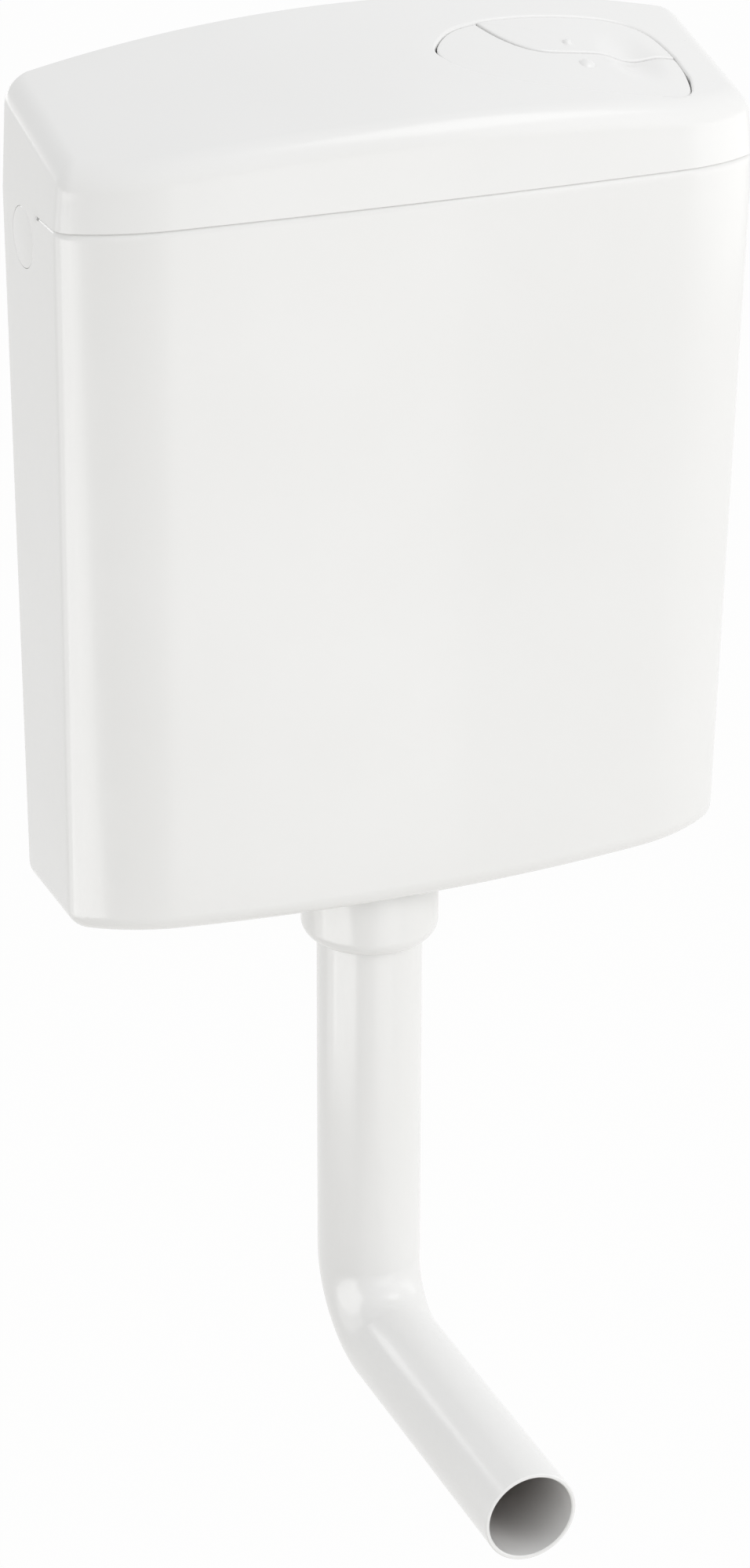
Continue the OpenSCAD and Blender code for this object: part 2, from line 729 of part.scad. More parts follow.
module carrier_screws() {
  color(steel) hung() for (p = carrier_bosses) translate([p.x, p.y, carrier_z]) {
    rod_z(screw_r, -overlap, screw_l - 1);
    rod_z(3.5, -2.2, 0);
  }
}

// Push rod pressed into a button, with a collar that the return spring bears on
push_collar_r = 6;
push_collar_h = 2;
push_gap = 0.6;
lever_pad_z = lever_z + 9;

module push_rod(y) {
  bottom = push_top(y) - push_boss_h;
  translate([push_x, y, 0]) {
    rod_z(push_pin_r, bottom - overlap, bottom + push_pin_h - clearance);
    rod_z(push_collar_r, bottom - push_collar_h, bottom);
    rod_z(push_rod_d / 2, lever_pad_z + push_gap + push_rod_d / 2, bottom - push_collar_h / 2);
    translate([0, 0, lever_pad_z + push_gap + push_rod_d / 2]) sphere(r = push_rod_d / 2);
  }
}

module full_push_rod() {
  color(natural) hung() push_rod(full_y);
}

module half_push_rod() {
  color(natural) hung() push_rod(half_y);
}

// Return spring: a round wire along a helix from the carrier up to the push rod's collar
coil_rings = 8;
wire_sides = 6;
spring_seat_gap = 0.3;

function helix_point(r, pitch, turn) = [r * cos(360 * turn), r * sin(360 * turn), pitch * turn];

function wire_ring(r, pitch, turn) =
  let (rise = atan(pitch / (2 * PI * r)))
  [for (s = [0:wire_sides - 1])
    let (
      a = 360 * s / wire_sides,
      out = spring_wire / 2 * cos(a),
      up = spring_wire / 2 * sin(a)
    )
    helix_point(r, pitch, turn)
      + out * [cos(360 * turn), sin(360 * turn), 0]
      + up * [sin(360 * turn) * sin(rise), -cos(360 * turn) * sin(rise), cos(rise)]];

function spring_pitch(length, turns) = (length - spring_wire - 2 * spring_seat_gap) / turns;

module spring(length, turns) {
  pitch = spring_pitch(length, turns);
  r = (spring_d - spring_wire) / 2;
  translate([0, 0, spring_wire / 2 + spring_seat_gap])
    loft([for (i = [0:turns * coil_rings]) reversed(wire_ring(r, pitch, i / coil_rings))]);
}

function spring_length(y) = push_top(y) - push_boss_h - push_collar_h - carrier_z - carrier_t;

echo(full_spring_gap = spring_pitch(spring_length(full_y), full_spring_turns) - spring_wire);
echo(half_spring_gap = spring_pitch(spring_length(half_y), half_spring_turns) - spring_wire);

module full_return_spring() {
  color(steel) hung() translate([push_x, full_y, carrier_z + carrier_t])
    spring(spring_length(full_y), full_spring_turns);
}

module half_return_spring() {
  color(steel) hung() translate([push_x, half_y, carrier_z + carrier_t])
    spring(spring_length(half_y), half_spring_turns);
}

// Levers
lever_hub_r = 6;
lever_tip_z = lever_z + 3;
lever_tip_l = 9;
ear_t = 3;
ear_gap = 0.6;

function ear_places(y) = [
  [y - lever_w / 2 - ear_gap - ear_t, y - lever_w / 2 - ear_gap],
  [y + lever_w / 2 + ear_gap, y + lever_w / 2 + ear_gap + ear_t]
];

// Side view of a lever, with the pin at the origin: the lifting end is on the left
lever_side = [
  [lever_right_arm + 5, lever_pad_z - lever_z], [lever_right_arm - 5, lever_pad_z - lever_z], [4, 5],
  [-8, 4], [lever_tip_l - lever_left_arm, -2], [lever_tip_l - lever_left_arm, lever_tip_z - lever_z],
  [-lever_left_arm, lever_tip_z - lever_z], [-lever_left_arm, -4], [lever_tip_l - lever_left_arm, -7],
  [-6, -5], [5, -4], [lever_right_arm + 5, 5]
];

module lever(y) {
  translate([lever_x, y, lever_z]) difference() {
    union() {
      translate([0, lever_w / 2, 0]) rotate([90, 0, 0]) linear_extrude(height = lever_w) polygon(lever_side);
      rod_y(lever_hub_r, -lever_w / 2, lever_w / 2);
    }
    rod_y(lever_pin_d / 2 + slide_fit, -lever_w, lever_w);
  }
}

module full_flush_lever() {
  color(blue) hung() lever(full_y);
}

module half_flush_lever() {
  color(natural) hung() lever(half_y);
}

module lever_pin() {
  color(steel) hung() translate([lever_x, 0, lever_z])
    rod_y(lever_pin_d / 2, ear_places(full_y)[0][0] - 0.5, ear_places(half_y)[1][1] + 0.5);
}

module actuator_bridge() {
  x = [lever_x - bridge_w / 2, lever_x + bridge_w / 2];
  front = front_y(x[1], bridge_z) + tank_wall + 2 * clearance;
  color(natural) hung() difference() {
    union() {
      box(x, [front, -tank_wall - clearance], [bridge_z, bridge_z + bridge_t]);
      for (y = concat(ear_places(full_y), ear_places(half_y))) {
        box([lever_x - 6, lever_x + 6], y, [bridge_z + bridge_t / 2, lever_z]);
        translate([lever_x, 0, lever_z]) rod_y(5, y[0], y[1]);
      }
    }
    translate([lever_x, 0, lever_z]) rod_y(lever_pin_d / 2 + pin_fit, -tank_top_d, 0);
  }
}

// Flush valve, measured from the outlet's axis
gasket_z = boss_top;
flange_z = gasket_z + gasket_t;
flange_t = 4;
flange_d = boss_d - 1;
seat_z = flange_z + flange_t + seat_h;
seat_d = cage_d - 2 * 3.8;
spigot_l = 22;
socket_top = -2;
socket_d = pipe_top_d + 2 * clearance;

module flush_valve_base() {
  color(grey) hung() at_outlet() rotate_extrude() polygon([
    [seat_bore_d / 2, socket_top], [seat_bore_d / 2, seat_z], [seat_bore_d / 2 + 2, seat_z],
    [seat_bore_d / 2 + 3, seat_z - 2], [seat_d / 2, seat_z - 2], [seat_d / 2, flange_z + flange_t],
    [flange_d / 2, flange_z + flange_t], [flange_d / 2, flange_z], [spigot_d / 2, flange_z],
    [spigot_d / 2, -spigot_l], [socket_d / 2, -spigot_l], [socket_d / 2, socket_top]
  ]);
}

module base_gasket() {
  color(rubber) hung() at_outlet() tube(flange_d / 2 - 1, spigot_d / 2 + clearance, gasket_z, flange_z);
}

// Six-sided nut up in the pocket in the underside of the tank
back_nut_d = pocket_d - 3;

module back_nut() {
  color(natural) hung() at_outlet() difference() {
    rod_z(spigot_d / 2 + 3.6, 1, pocket_h);
    rod_z(spigot_d / 2 + slide_fit, 0, pocket_h + overlap);
    for (a = [0:30:330]) rotate(a) translate([back_nut_d / 2, 0, 0]) rod_z(2.6, 0, pocket_h - 3);
  }
}

collar_top = -1;
collar_shelf = 4;

// Smooth coupling nut with a round lower edge
module coupling_nut() {
  r = collar_d / 2;
  lip = pipe_top_d / 2 + clearance;
  bottom = -collar_h;
  color(white) hung() at_outlet() rotate_extrude() polygon(concat(
    [[spigot_d / 2 + slide_fit, collar_top], [spigot_d / 2 + slide_fit, bottom + collar_shelf],
      [lip, bottom + collar_shelf], [lip, bottom]],
    [for (a = [0:9:90]) [r - collar_r + collar_r * sin(a), bottom + collar_r * (1 - cos(a))]],
    [[r, collar_top - 1], [r - 1, collar_top]]
  ));
}

module pipe_seal() {
  color(rubber) hung() at_outlet()
    tube(spigot_d / 2 - clearance, pipe_top_d / 2 + slide_fit, collar_shelf - collar_h, -spigot_l);
}

// Flush pipe: two straight limbs that lap into a slightly thicker bend, which narrows between them
pipe_top = socket_top - 2;
bend_steps = 12;
bend_sides = 32;
bend_lap = 0.3;

function bend_ring(turn, grow) =
  let (r = lerp(pipe_top_d, pipe_end_d, turn / 90) / 2 + grow)
  [for (i = [0:bend_sides - 1])
    let (a = 360 * i / bend_sides, q = bend_r + r * sin(a))
    [r * cos(a), q * cos(turn) - bend_r, bend_r - pipe_drop - q * sin(turn)]];

function moved(ring, step) = [for (p = ring) p + step];

// The bend as a solid bar, made longer at both ends by extra
module bend_solid(grow, extra) {
  rings = [for (i = [bend_steps:-1:0]) bend_ring(90 * i / bend_steps, grow)];
  low = moved(rings[0], [0, -extra, 0]);
  high = moved(rings[bend_steps], [0, 0, extra]);
  loft(extra > 0 ? concat([low], rings, [high]) : rings);
}

module flush_pipe() {
  end = -pipe_reach - valve_y;
  color(white) hung() at_outlet() {
    tube(pipe_top_d / 2, pipe_top_d / 2 - pipe_wall, bend_r - pipe_drop - overlap, pipe_top);
    difference() {
      bend_solid(bend_lap, 0);
      bend_solid(-pipe_wall - bend_lap, overlap);
    }
    translate([0, 0, -pipe_drop]) difference() {
      rod_y(pipe_end_d / 2, end, overlap - bend_r);
      rod_y(pipe_end_d / 2 - pipe_wall, end - overlap, 2 * overlap - bend_r);
    }
  }
}

// Valve cage: a windowed skirt, a float chamber and a guide for the lift tube
cage_z = flange_z + flange_t;
window_z = seat_z;
chamber_z = window_z + cage_window_h;
chamber_top = chamber_z + chamber_h;
chamber_r = cage_d / 2 - 3;
chamber_wall = 2.5;
guide_t = 3;
tube_hole_r = lift_tube_d / 2 + loose_fit;
half_rod_y = half_y - valve_y;
half_hole_r = half_rod_d / 2 + loose_fit;
window_w = 34;

module valve_cage() {
  color(blue) hung() at_outlet() difference() {
    union() {
      tube(cage_d / 2, seat_d / 2 + clearance, cage_z, chamber_z);
      tube(chamber_r, chamber_r - chamber_wall, chamber_z - overlap, chamber_top);
      tube(cage_d / 2, tube_hole_r, chamber_z, chamber_z + guide_t);
      tube(chamber_r, tube_hole_r, chamber_top, chamber_top + guide_t);
      tube(tube_hole_r + chamber_wall, tube_hole_r, chamber_top + guide_t / 2, chamber_top + 12);
    }
    for (a = [45:90:315]) rotate(a)
      box([seat_bore_d / 2, cage_d], [-window_w / 2, window_w / 2], [window_z + 2, chamber_z - 4]);
    for (a = [0, 180]) rotate(a)
      box([chamber_r / 2, cage_d], [-5, 5], [chamber_z + 25, chamber_top - 25]);
    translate([0, half_rod_y, 0]) rod_z(half_hole_r, chamber_top - overlap, chamber_top + 13);
  }
}

// Lift tube: carries the valve's seal, and water above its slots runs off through its bore
seal_t = 2.6;
seal_lift = 0.4;
disc_z = seat_z + seal_lift + seal_t;
disc_r = seat_bore_d / 2 + 5;
disc_t = 3;
tube_foot = disc_z - seal_t - 4;
overflow_z = tank_h - 43;
overflow_slot_h = 14;
lift_lug_z = lever_tip_z + loose_fit;
lift_lug_h = 5;
lift_tube_top = lift_lug_z + lift_lug_h + 3;
lug_front = full_y - lever_w / 2 - 1 - valve_y;

module lift_tube() {
  color(grey) hung() at_outlet() difference() {
    union() {
      rod_z(lift_tube_d / 2, tube_foot, lift_tube_top);
      rod_z(disc_r, disc_z, disc_z + disc_t);
      box([-4, 15], [lug_front, -lift_tube_d / 4], [lift_lug_z, lift_lug_z + lift_lug_h]);
    }
    rod_z(lift_tube_bore / 2, tube_foot - overlap, lift_tube_top + overlap);
    for (a = [0, 90]) rotate(a)
      box([-lift_tube_d, lift_tube_d], [-4, 4], [overflow_z, overflow_z + overflow_slot_h]);
  }
}

module valve_seal() {
  color(rubber) hung() at_outlet()
    tube(disc_r, lift_tube_d / 2 + slide_fit, disc_z - seal_t, disc_z);
}

module seal_retainer() {
  color(natural) hung() at_outlet()
    tube(lift_tube_d / 2 + 6, lift_tube_d / 2 + slide_fit, tube_foot, disc_z - seal_t);
}

// Float shaped like a bell, open below, with a sleeve round the lift tube
float_wall = 2;
bell_r = chamber_r - chamber_wall - 3.5;

module bell(sleeve_r, z0, z1) {
  rotate_extrude() polygon([
    [sleeve_r, z0 + 5], [sleeve_r, z1], [bell_r, z1], [bell_r, z0], [bell_r - float_wall, z0],
    [bell_r - float_wall, z1 - float_wall], [sleeve_r + float_wall, z1 - float_wall],
    [sleeve_r + float_wall, z0 + 5]
  ]);
}

valve_float_z = chamber_z + guide_t + 6;
valve_float_h = 45;
half_float_z = valve_float_z + valve_float_h + 20;
half_float_h = 28;

module valve_float() {
  color(foam) hung() at_outlet()
    bell(lift_tube_d / 2 + slide_fit, valve_float_z, valve_float_z + valve_float_h);
}

module half_flush_float() {
  top = half_float_z + half_float_h;
  color(foam) hung() at_outlet() difference() {
    bell(lift_tube_d / 2 + loose_fit, half_float_z, top);
    translate([0, half_rod_y, 0]) rod_z(half_rod_d / 2 + slide_fit, half_float_z, top + overlap);
  }
}

half_head_r = 5.4;

module half_flush_rod() {
  top = half_float_z + half_float_h;
  color(natural) hung() at_outlet() translate([0, half_rod_y, 0]) {
    rod_z(half_rod_d / 2, top - float_wall - 3, lift_lug_z + lift_lug_h);
    rod_z(half_rod_d / 2 + 1.2, top - float_wall - 4, top - float_wall);
    rod_z(half_rod_d / 2 + 1.2, top, top + 2);
    rod_z(half_head_r, lift_lug_z, lift_lug_z + lift_lug_h - 2);
  }
}

// Fill valve at the right side, measured from the inlet's axis and the tank's inner face
inlet_x = tank_w(inlet_z) / 2;
side_x = inlet_x - tank_wall;
housing_x = side_x - housing_from_side;
inlet_flange_r = cap_d / 2;
inlet_flange_t = 3;
inlet_seal_t = 2.2;
wall_lean = abs(tank_top_w - tank_bottom_w) / 2 / tank_h;
inlet_seal_gap = wall_lean * inlet_flange_r + pin_fit;
inlet_barrel_r = 10;
nut_t = 6;
nut_flange_r = cap_d / 2 + 2;
nut_x = inlet_x + wall_lean * nut_flange_r + clearance / 2;
inlet_end = inlet_x + inlet_proud;
housing_low = inlet_z - 22;
housing_high = inlet_z + 10.5;
spout_r = discharge_d / 2 - 1.5;
spout_l = 10;
float_pin_x = housing_x - 20;
float_pin_z = tank_h - 31;
float_pin_d = 3;
arm_tilt = asin(float_travel / 2 / float_arm_l);
float_rod_x = float_pin_x - float_arm_l * (1 + cos(arm_tilt)) / 2;
arm_w = 8;
cheek_t = 2.5;
cheek_gap = 0.6;
guide_z = tank_h - 57;
diaphragm_t = 2;
diaphragm_r = housing_d / 2 - 2.2;

module at_fill_y() {
  translate([0, -inlet_from_wall, 0]) children();
}

module at_float_pin() {
  translate([float_pin_x, -inlet_from_wall, float_pin_z]) children();
}

module cheeks() {
  for (side = [-1, 1]) {
    y = side * (arm_w / 2 + cheek_gap + cheek_t / 2);
    at_float_pin() translate([0, y, 0]) {
      rod_y(5, -cheek_t / 2, cheek_t / 2);
      box([0, housing_x - float_pin_x - 6], [-cheek_t / 2, cheek_t / 2], [-5, 5]);
    }
  }
}

// Strut and eye that guide the float rod
module float_guide() {
  at_fill_y() {
    box([float_pin_x + 6.5, float_pin_x + 11.5], [-5, 5], [guide_z, housing_low + overlap]);
    box([float_rod_x, float_pin_x + 11.5], [-5, 5], [guide_z, guide_z + 3]);
    translate([float_rod_x, 0, 0]) rod_z(6.5, guide_z, guide_z + 3);
  }
}

module fill_valve_body() {
  color(natural) hung() difference() {
    union() {
      at_fill_y() translate([0, 0, inlet_z]) {
        rod_x(inlet_barrel_r, housing_x, side_x - inlet_seal_t);
        rod_x(inlet_flange_r, side_x - inlet_seal_t - inlet_flange_t, side_x - inlet_seal_t);
        rod_x(inlet_thread_d / 2, side_x - inlet_seal_t - overlap, inlet_end);
      }
      at_fill_y() translate([housing_x, 0, 0]) {
        rod_z(housing_d / 2, housing_low, housing_high);
        rod_z(spout_r, housing_low - spout_l, housing_low + overlap);
      }
      cheeks();
      float_guide();
    }
    at_fill_y() {
      translate([0, 0, inlet_z]) {
        rod_x(inlet_bore_d / 2, housing_x, inlet_end);
        rod_x(inlet_mouth_d / 2, inlet_end - inlet_mouth_l, inlet_end + overlap);
      }
      translate([housing_x, 0, 0]) {
        rod_z(diaphragm_r + slide_fit, housing_high - diaphragm_t, housing_high + overlap);
        rod_z(8, inlet_z - 8, housing_high);
        rod_z(spout_r - 1.5, housing_low - spout_l - overlap, inlet_z);
      }
      translate([float_rod_x, 0, 0]) rod_z(float_rod_d / 2 + slide_fit, guide_z - overlap, guide_z + 4);
    }
    at_float_pin() rod_y(float_pin_d / 2 + pin_fit, -arm_w, arm_w);
  }
}

module inlet_seal() {
  color(rubber) hung() at_fill_y() translate([side_x - inlet_seal_t, 0, inlet_z]) rotate([0, 90, 0])
    tube(inlet_flange_r, inlet_thread_d / 2 + slide_fit, 0, inlet_seal_t - inlet_seal_gap);
}

module inlet_lock_nut() {
  color(white) hung() at_fill_y() translate([nut_x, 0, inlet_z]) rotate([0, 90, 0]) difference() {
    union() {
      cylinder(d = 30, h = nut_t, $fn = 6);
      cylinder(r = nut_flange_r, h = 2);
    }
    translate([0, 0, -overlap]) cylinder(r = inlet_thread_d / 2 + slide_fit, h = nut_t + 2 * overlap);
  }
}

// Strainer cup in the bore behind the mouth of the inlet
filter_l = 15;

module inlet_filter() {
  r = inlet_bore_d / 2 - slide_fit;
  color(blue) hung() at_fill_y() translate([inlet_end - inlet_mouth_l - filter_l, 0, inlet_z])
    rotate([0, 90, 0]) difference() {
      cylinder(r = r, h = filter_l);
      translate([0, 0, 1.5]) cylinder(r = r - 1.2, h = filter_l);
      for (a = [0:60:120], z = [4:4:12]) rotate(a) translate([-r - overlap, -1, z]) cube([2 * r + 2, 2, 2]);
    }
}

module valve_cap() {
  r = housing_d / 2 + 1.5;
  color(blue) hung() at_fill_y() translate([housing_x, 0, housing_high]) difference() {
    union() {
      rod_z(r, 0, 5.5);
      rod_z(6, 5, 8.5);
    }
    for (a = [0:20:340]) rotate(a) translate([r, 0, 0]) rod_z(1, -overlap, 7);
  }
}

module diaphragm() {
  color(rubber) hung() at_fill_y() translate([housing_x, 0, 0]) {
    rod_z(diaphragm_r, housing_high - diaphragm_t, housing_high);
    rod_z(4, housing_high - diaphragm_t - 3, housing_high - diaphragm_t + overlap);
  }
}

module discharge_tube() {
  color(natural) hung() at_fill_y() translate([housing_x, 0, 0])
    tube(discharge_d / 2, spout_r + slide_fit, housing_low - discharge_l, housing_low);
}

// Float arm, drawn level about its pin and tilted down to where an empty tank leaves it
eye_r = 6;
eye_t = 3;
eye_hole_r = float_rod_d / 2 + 1.3;

module float_arm() {
  color(blue) hung() at_float_pin() rotate([0, -arm_tilt, 0]) difference() {
    union() {
      rod_y(4, -arm_w / 2, arm_w / 2);
      box([-float_arm_l + 4, 0], [-arm_w / 2, arm_w / 2], [-eye_t / 2, eye_t / 2]);
      translate([-float_arm_l, 0, 0]) rod_z(eye_r, -eye_t / 2, eye_t / 2);
    }
    rod_y(float_pin_d / 2 + slide_fit, -arm_w, arm_w);
    translate([-float_arm_l, 0, 0]) rod_z(eye_hole_r, -eye_t, eye_t);
  }
}

module float_arm_pin() {
  half = arm_w / 2 + cheek_gap + cheek_t;
  color(steel) hung() at_float_pin() rod_y(float_pin_d / 2, -half, half);
}

// Rod from the float up through the guide and the arm's eye, with a collar on each side of the eye
eye_z = float_pin_z - float_travel / 2;
collar_gap = 3;
float_top = guide_z - 1 - float_travel - 3;
float_seat = 8;

module float_rod() {
  color(steel) hung() at_fill_y() translate([float_rod_x, 0, 0]) {
    rod_z(float_rod_d / 2, float_top - float_seat, eye_z + collar_gap + 3);
    rod_z(float_rod_d / 2 + 1.8, eye_z - collar_gap - 2, eye_z - collar_gap);
    rod_z(float_rod_d / 2 + 1.8, eye_z + collar_gap, eye_z + collar_gap + 2);
  }
}

float_corner_r = 10;
float_y = -tank_wall - 6 - float_d / 2;

module round_block(inset, h) {
  hw = float_w / 2 - float_corner_r;
  hd = float_d / 2 - float_corner_r;
  linear_extrude(height = h) union() {
    square([float_w - 2 * inset, 2 * hd], center = true);
    square([2 * hw, float_d - 2 * inset], center = true);
    for (x = [-hw, hw], y = [-hd, hd]) translate([x, y]) circle(r = float_corner_r - inset);
  }
}

// Float shaped like an upturned box, with a socket for its rod
module fill_float() {
  color(foam) hung() difference() {
    union() {
      translate([float_rod_x, float_y, float_top - float_h]) difference() {
        round_block(0, float_h);
        translate([0, 0, -overlap]) round_block(float_wall, float_h - float_wall + overlap);
      }
      at_fill_y() translate([float_rod_x, 0, 0])
        rod_z(float_rod_d / 2 + 2.5, float_top - float_seat - 2, float_top - float_wall / 2);
    }
    at_fill_y() translate([float_rod_x, 0, 0])
      rod_z(float_rod_d / 2 + pin_fit, float_top - float_seat, float_top + overlap);
  }
}

// Cap in the unused left inlet, with a split spigot that snaps behind the wall
module blanking_cap() {
  color(white) hung() at_inlet(-1) difference() {
    union() {
      rod_x(cap_d / 2, -cap_proud, cap_t - pin_fit);
      rod_x(inlet_hole_d / 2 - slide_fit, cap_t / 2, tank_wall + 4);
    }
    rod_x(inlet_hole_d / 2 - 2, cap_t + 0.5, tank_wall + 5);
    for (a = [0, 90]) rotate([a, 0, 0]) box([tank_wall + 0.5, tank_wall + 5], [-1, 1], [-cap_d, cap_d]);
  }
}

cistern_body();
lid();
button_carrier();
carrier_screws();
full_flush_button();
half_flush_button();
button_hinge_pin();
full_push_rod();
half_push_rod();
full_return_spring();
half_return_spring();
actuator_bridge();
lever_pin();
full_flush_lever();
half_flush_lever();
flush_valve_base();
base_gasket();
back_nut();
coupling_nut();
pipe_seal();
flush_pipe();
valve_cage();
lift_tube();
valve_seal();
seal_retainer();
valve_float();
half_flush_rod();
half_flush_float();
fill_valve_body();
inlet_seal();
inlet_lock_nut();
inlet_filter();
valve_cap();
diaphragm();
discharge_tube();
float_arm();
float_arm_pin();
float_rod();
fill_float();
blanking_cap();
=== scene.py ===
"""Looks of a wall-hung toilet cistern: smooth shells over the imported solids, finishes, light and camera.

Sizes are in millimetres, measured as in the solids: heights from the underside of the tank, depths from
the wall. to_frame() turns them into metres in the shared frame.
"""

import json
import math

import bmesh
import bpy
import numpy as np
from mathutils import Matrix, Vector


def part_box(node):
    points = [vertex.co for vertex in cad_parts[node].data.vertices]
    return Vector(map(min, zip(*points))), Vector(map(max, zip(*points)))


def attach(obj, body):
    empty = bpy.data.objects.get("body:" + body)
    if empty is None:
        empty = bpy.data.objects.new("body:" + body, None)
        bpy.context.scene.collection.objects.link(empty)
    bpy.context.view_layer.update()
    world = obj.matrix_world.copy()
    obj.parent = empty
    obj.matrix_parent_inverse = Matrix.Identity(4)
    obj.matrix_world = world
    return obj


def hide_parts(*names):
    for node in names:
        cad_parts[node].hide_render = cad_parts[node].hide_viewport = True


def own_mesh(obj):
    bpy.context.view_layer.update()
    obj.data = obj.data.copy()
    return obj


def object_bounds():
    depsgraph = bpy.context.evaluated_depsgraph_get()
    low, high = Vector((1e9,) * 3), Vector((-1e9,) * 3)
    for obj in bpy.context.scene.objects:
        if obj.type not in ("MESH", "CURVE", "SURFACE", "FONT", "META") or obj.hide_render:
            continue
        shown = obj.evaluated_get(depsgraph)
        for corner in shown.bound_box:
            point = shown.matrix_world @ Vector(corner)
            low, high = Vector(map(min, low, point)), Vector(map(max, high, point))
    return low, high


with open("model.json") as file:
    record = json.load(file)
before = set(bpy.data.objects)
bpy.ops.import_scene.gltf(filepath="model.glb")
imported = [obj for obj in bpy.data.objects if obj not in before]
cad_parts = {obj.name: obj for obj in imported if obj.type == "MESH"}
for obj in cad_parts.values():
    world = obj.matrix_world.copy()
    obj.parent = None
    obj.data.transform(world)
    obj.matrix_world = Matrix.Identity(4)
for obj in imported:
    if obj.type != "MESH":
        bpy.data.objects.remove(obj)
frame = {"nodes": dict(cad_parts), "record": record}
CAD_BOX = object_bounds()
NODES = frame["nodes"]
MM = 0.001

# Sizes read from the frame
TANK_LOW, TANK_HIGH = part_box("cistern_body")
HANG_Z = -TANK_LOW.z / MM
TANK_TOP_W = (TANK_HIGH.x - TANK_LOW.x) / MM
TANK_TOP_D = -TANK_LOW.y / MM

# Tank
SEAM_ARCH = 4.5
TANK_H = (TANK_HIGH.z - TANK_LOW.z) / MM - SEAM_ARCH
TANK_BOTTOM_W = 324
TANK_BOTTOM_D = 92
TANK_WALL = 4
FRONT_BOW = 18
CORNER_R = 13
CORNER_TURN = 54
BLEND_R = 94
LEAST_CORNER_R = 0.5
BOTTOM_R = 10
REAR_CORNER_R = 3
RIM_ROUND_H = 3.6
RIM_ROUND_D = 2.2
REVEAL_START = 48
REVEAL_FULL = 80
REVEAL_LEAST = 0.3
SLOT_REACH = (48.3, 51)
SLOT_DEPTH = 5
SLOT_H = 1.3
GROOVE_STEP = 0.3
LEAST_STRAIGHT = 1
LEDGE_X = (52, 84)
LEDGE_Z = (311, 316)
LEDGE_REAR_Y = (-11, -2)
LEDGE_FRONT_Y = (-98.4, -91.6)

# Wall screws, inlets and outlet
HANG_X = 75
HANG_R = 3.5
INLET_Z = TANK_H - 14.5
INLET_Y = -28.5
INLET_R = 11
CAP_R = 13.5
CAP_T = 1.6
CAP_PROUD = 0.5
CAP_GAP = 0.13
CAP_SHIFT = 0.1
CAP_EDGE = 0.4
CAP_LIFT = 0.02
CAP_SPIGOT_PLAY = 0.05
CAP_SPIGOT_L = 8
CAP_SPIGOT_WALL = 2
CAP_FLOOR = 0.5
AXIS_R = 0.01
OUTLET = (-9, -45)
POCKET_R = 35.5
POCKET_H = 9
SPIGOT_HOLE_R = 29.8
BOSS_R = 39.5
BOSS_TOP = 12.5

# Lid
LID_RISE = 66
LID_SLOPE = 0.285
CROWN_R = 700
LID_EDGE_R = 10
LID_LEAN = 2
LID_WALL = 3
LIP_INSET = 4.8
LIP_WALL = 2
LIP_DEPTH = 7
LIP_TOP = 2
SKIRT_TOP = 7
SEAM_GAP = 0.1
LID_LOWER_ROUND = 0.3
LID_REAR_ROUND = 0.8
SCREW_PLACES = ((18, -26), (18, -66), (146, -28), (143, -64))
SCREW_HOLE_R = 1.6
SCREW_BOSS_R = 4.5
SCREW_BOSS_LOW = 16.5

# Buttons
LEAF_LEFT = 22.3
LEAF_L = 113.4
LEAF_REAR = 17.4
LEAF_W = 65.4
LEAF_GAP = 0.25
LEAF_END_GAP = 0.9
LEAF_END_SPREAD = 6
SPLIT_GAP = 1.05
SPLIT_LEAST = 0.5
OPENING_ROUND = 1.3
BUTTON_T = 3
BUTTON_RIM_H = 5
BUTTON_EDGE = 0.8
BUTTON_RIM_SHARE = 0.92
DISH_MID = (114, -49)
DISH_W = 33
DISH_L = 47
DISH_DEPTH = 3
SOCKET_COVER = 2.4
FULL_SINK = 1
HALF_SINK = 0.5
FULL_MIDDLE = (0.36, 0.68)
HALF_MIDDLE = (0.64, 0.26)
FULL_DOT = (88.3, -56.7)
HALF_DOT = (86.5, -40)
FULL_DOT_D = 7.5
HALF_DOT_D = 4.5
DOT_H = 1.5
DOT_FILLET = ((0.35, -0.3), (0.15, 0.03))
DOT_EDGE_SHARE = 0.97
DOT_TIP_R = 0.05
ROD_X = 94
FULL_ROD_Y = -62
HALF_ROD_Y = -27
SOCKET_HOLE_R = 1.52
SOCKET_R = 4
SOCKET_REACH = 8
HINGE = (34, TANK_H + 42.5)
HINGE_LUG_R = 3
HINGE_LUGS_Y = ((-56, -52), (-48, -44))
HALF_ARM_Y = (-38, -33)
HALF_POST_X = (61.3, 68.3)
SPRING_WIRE_R = 0.55
SPRING_TURNS = {"full": 4, "half": 6}

# Flush pipe and coupling nut
PIPE_TOP = -4
PIPE_TOP_R = 25
PIPE_END_R = 22.5
PIPE_WALL = 2
PIPE_LIP = 0.5
BEND_R = 37
PIPE_DROP = 244.5
PIPE_REACH = 238
# Depth from the pipe's mouth at which the shade painted on its inner wall is full
PAINTED_SHADE_DEPTH = 60
COLLAR_R = 32.5
COLLAR_TOP = -1
COLLAR_LOW = -35
COLLAR_ROUND = 8
COLLAR_PLAY = 0.25
COLLAR_FLOOR = 4
COLLAR_EDGE = ((0, 1), (0.3, 0.3), (1, 0))
NECK_PLAY = 0.3
NECK_CHAMFER_H = 0.4
NECK_MOUTH = 0.5
NECK_LAND = 0.6

# Photograph's camera, fitted to the tank's outline and the flush bend
CAMERA_AT = (-714.53, -1742.1, 875.33)
CAMERA_AZIMUTH = 22.65
CAMERA_ELEVATION = 24.42
CAMERA_ROLL = 0.157
FOCAL_PX = 5534.2
PHOTO_H_PX = 2000
SENSOR_MM = 36

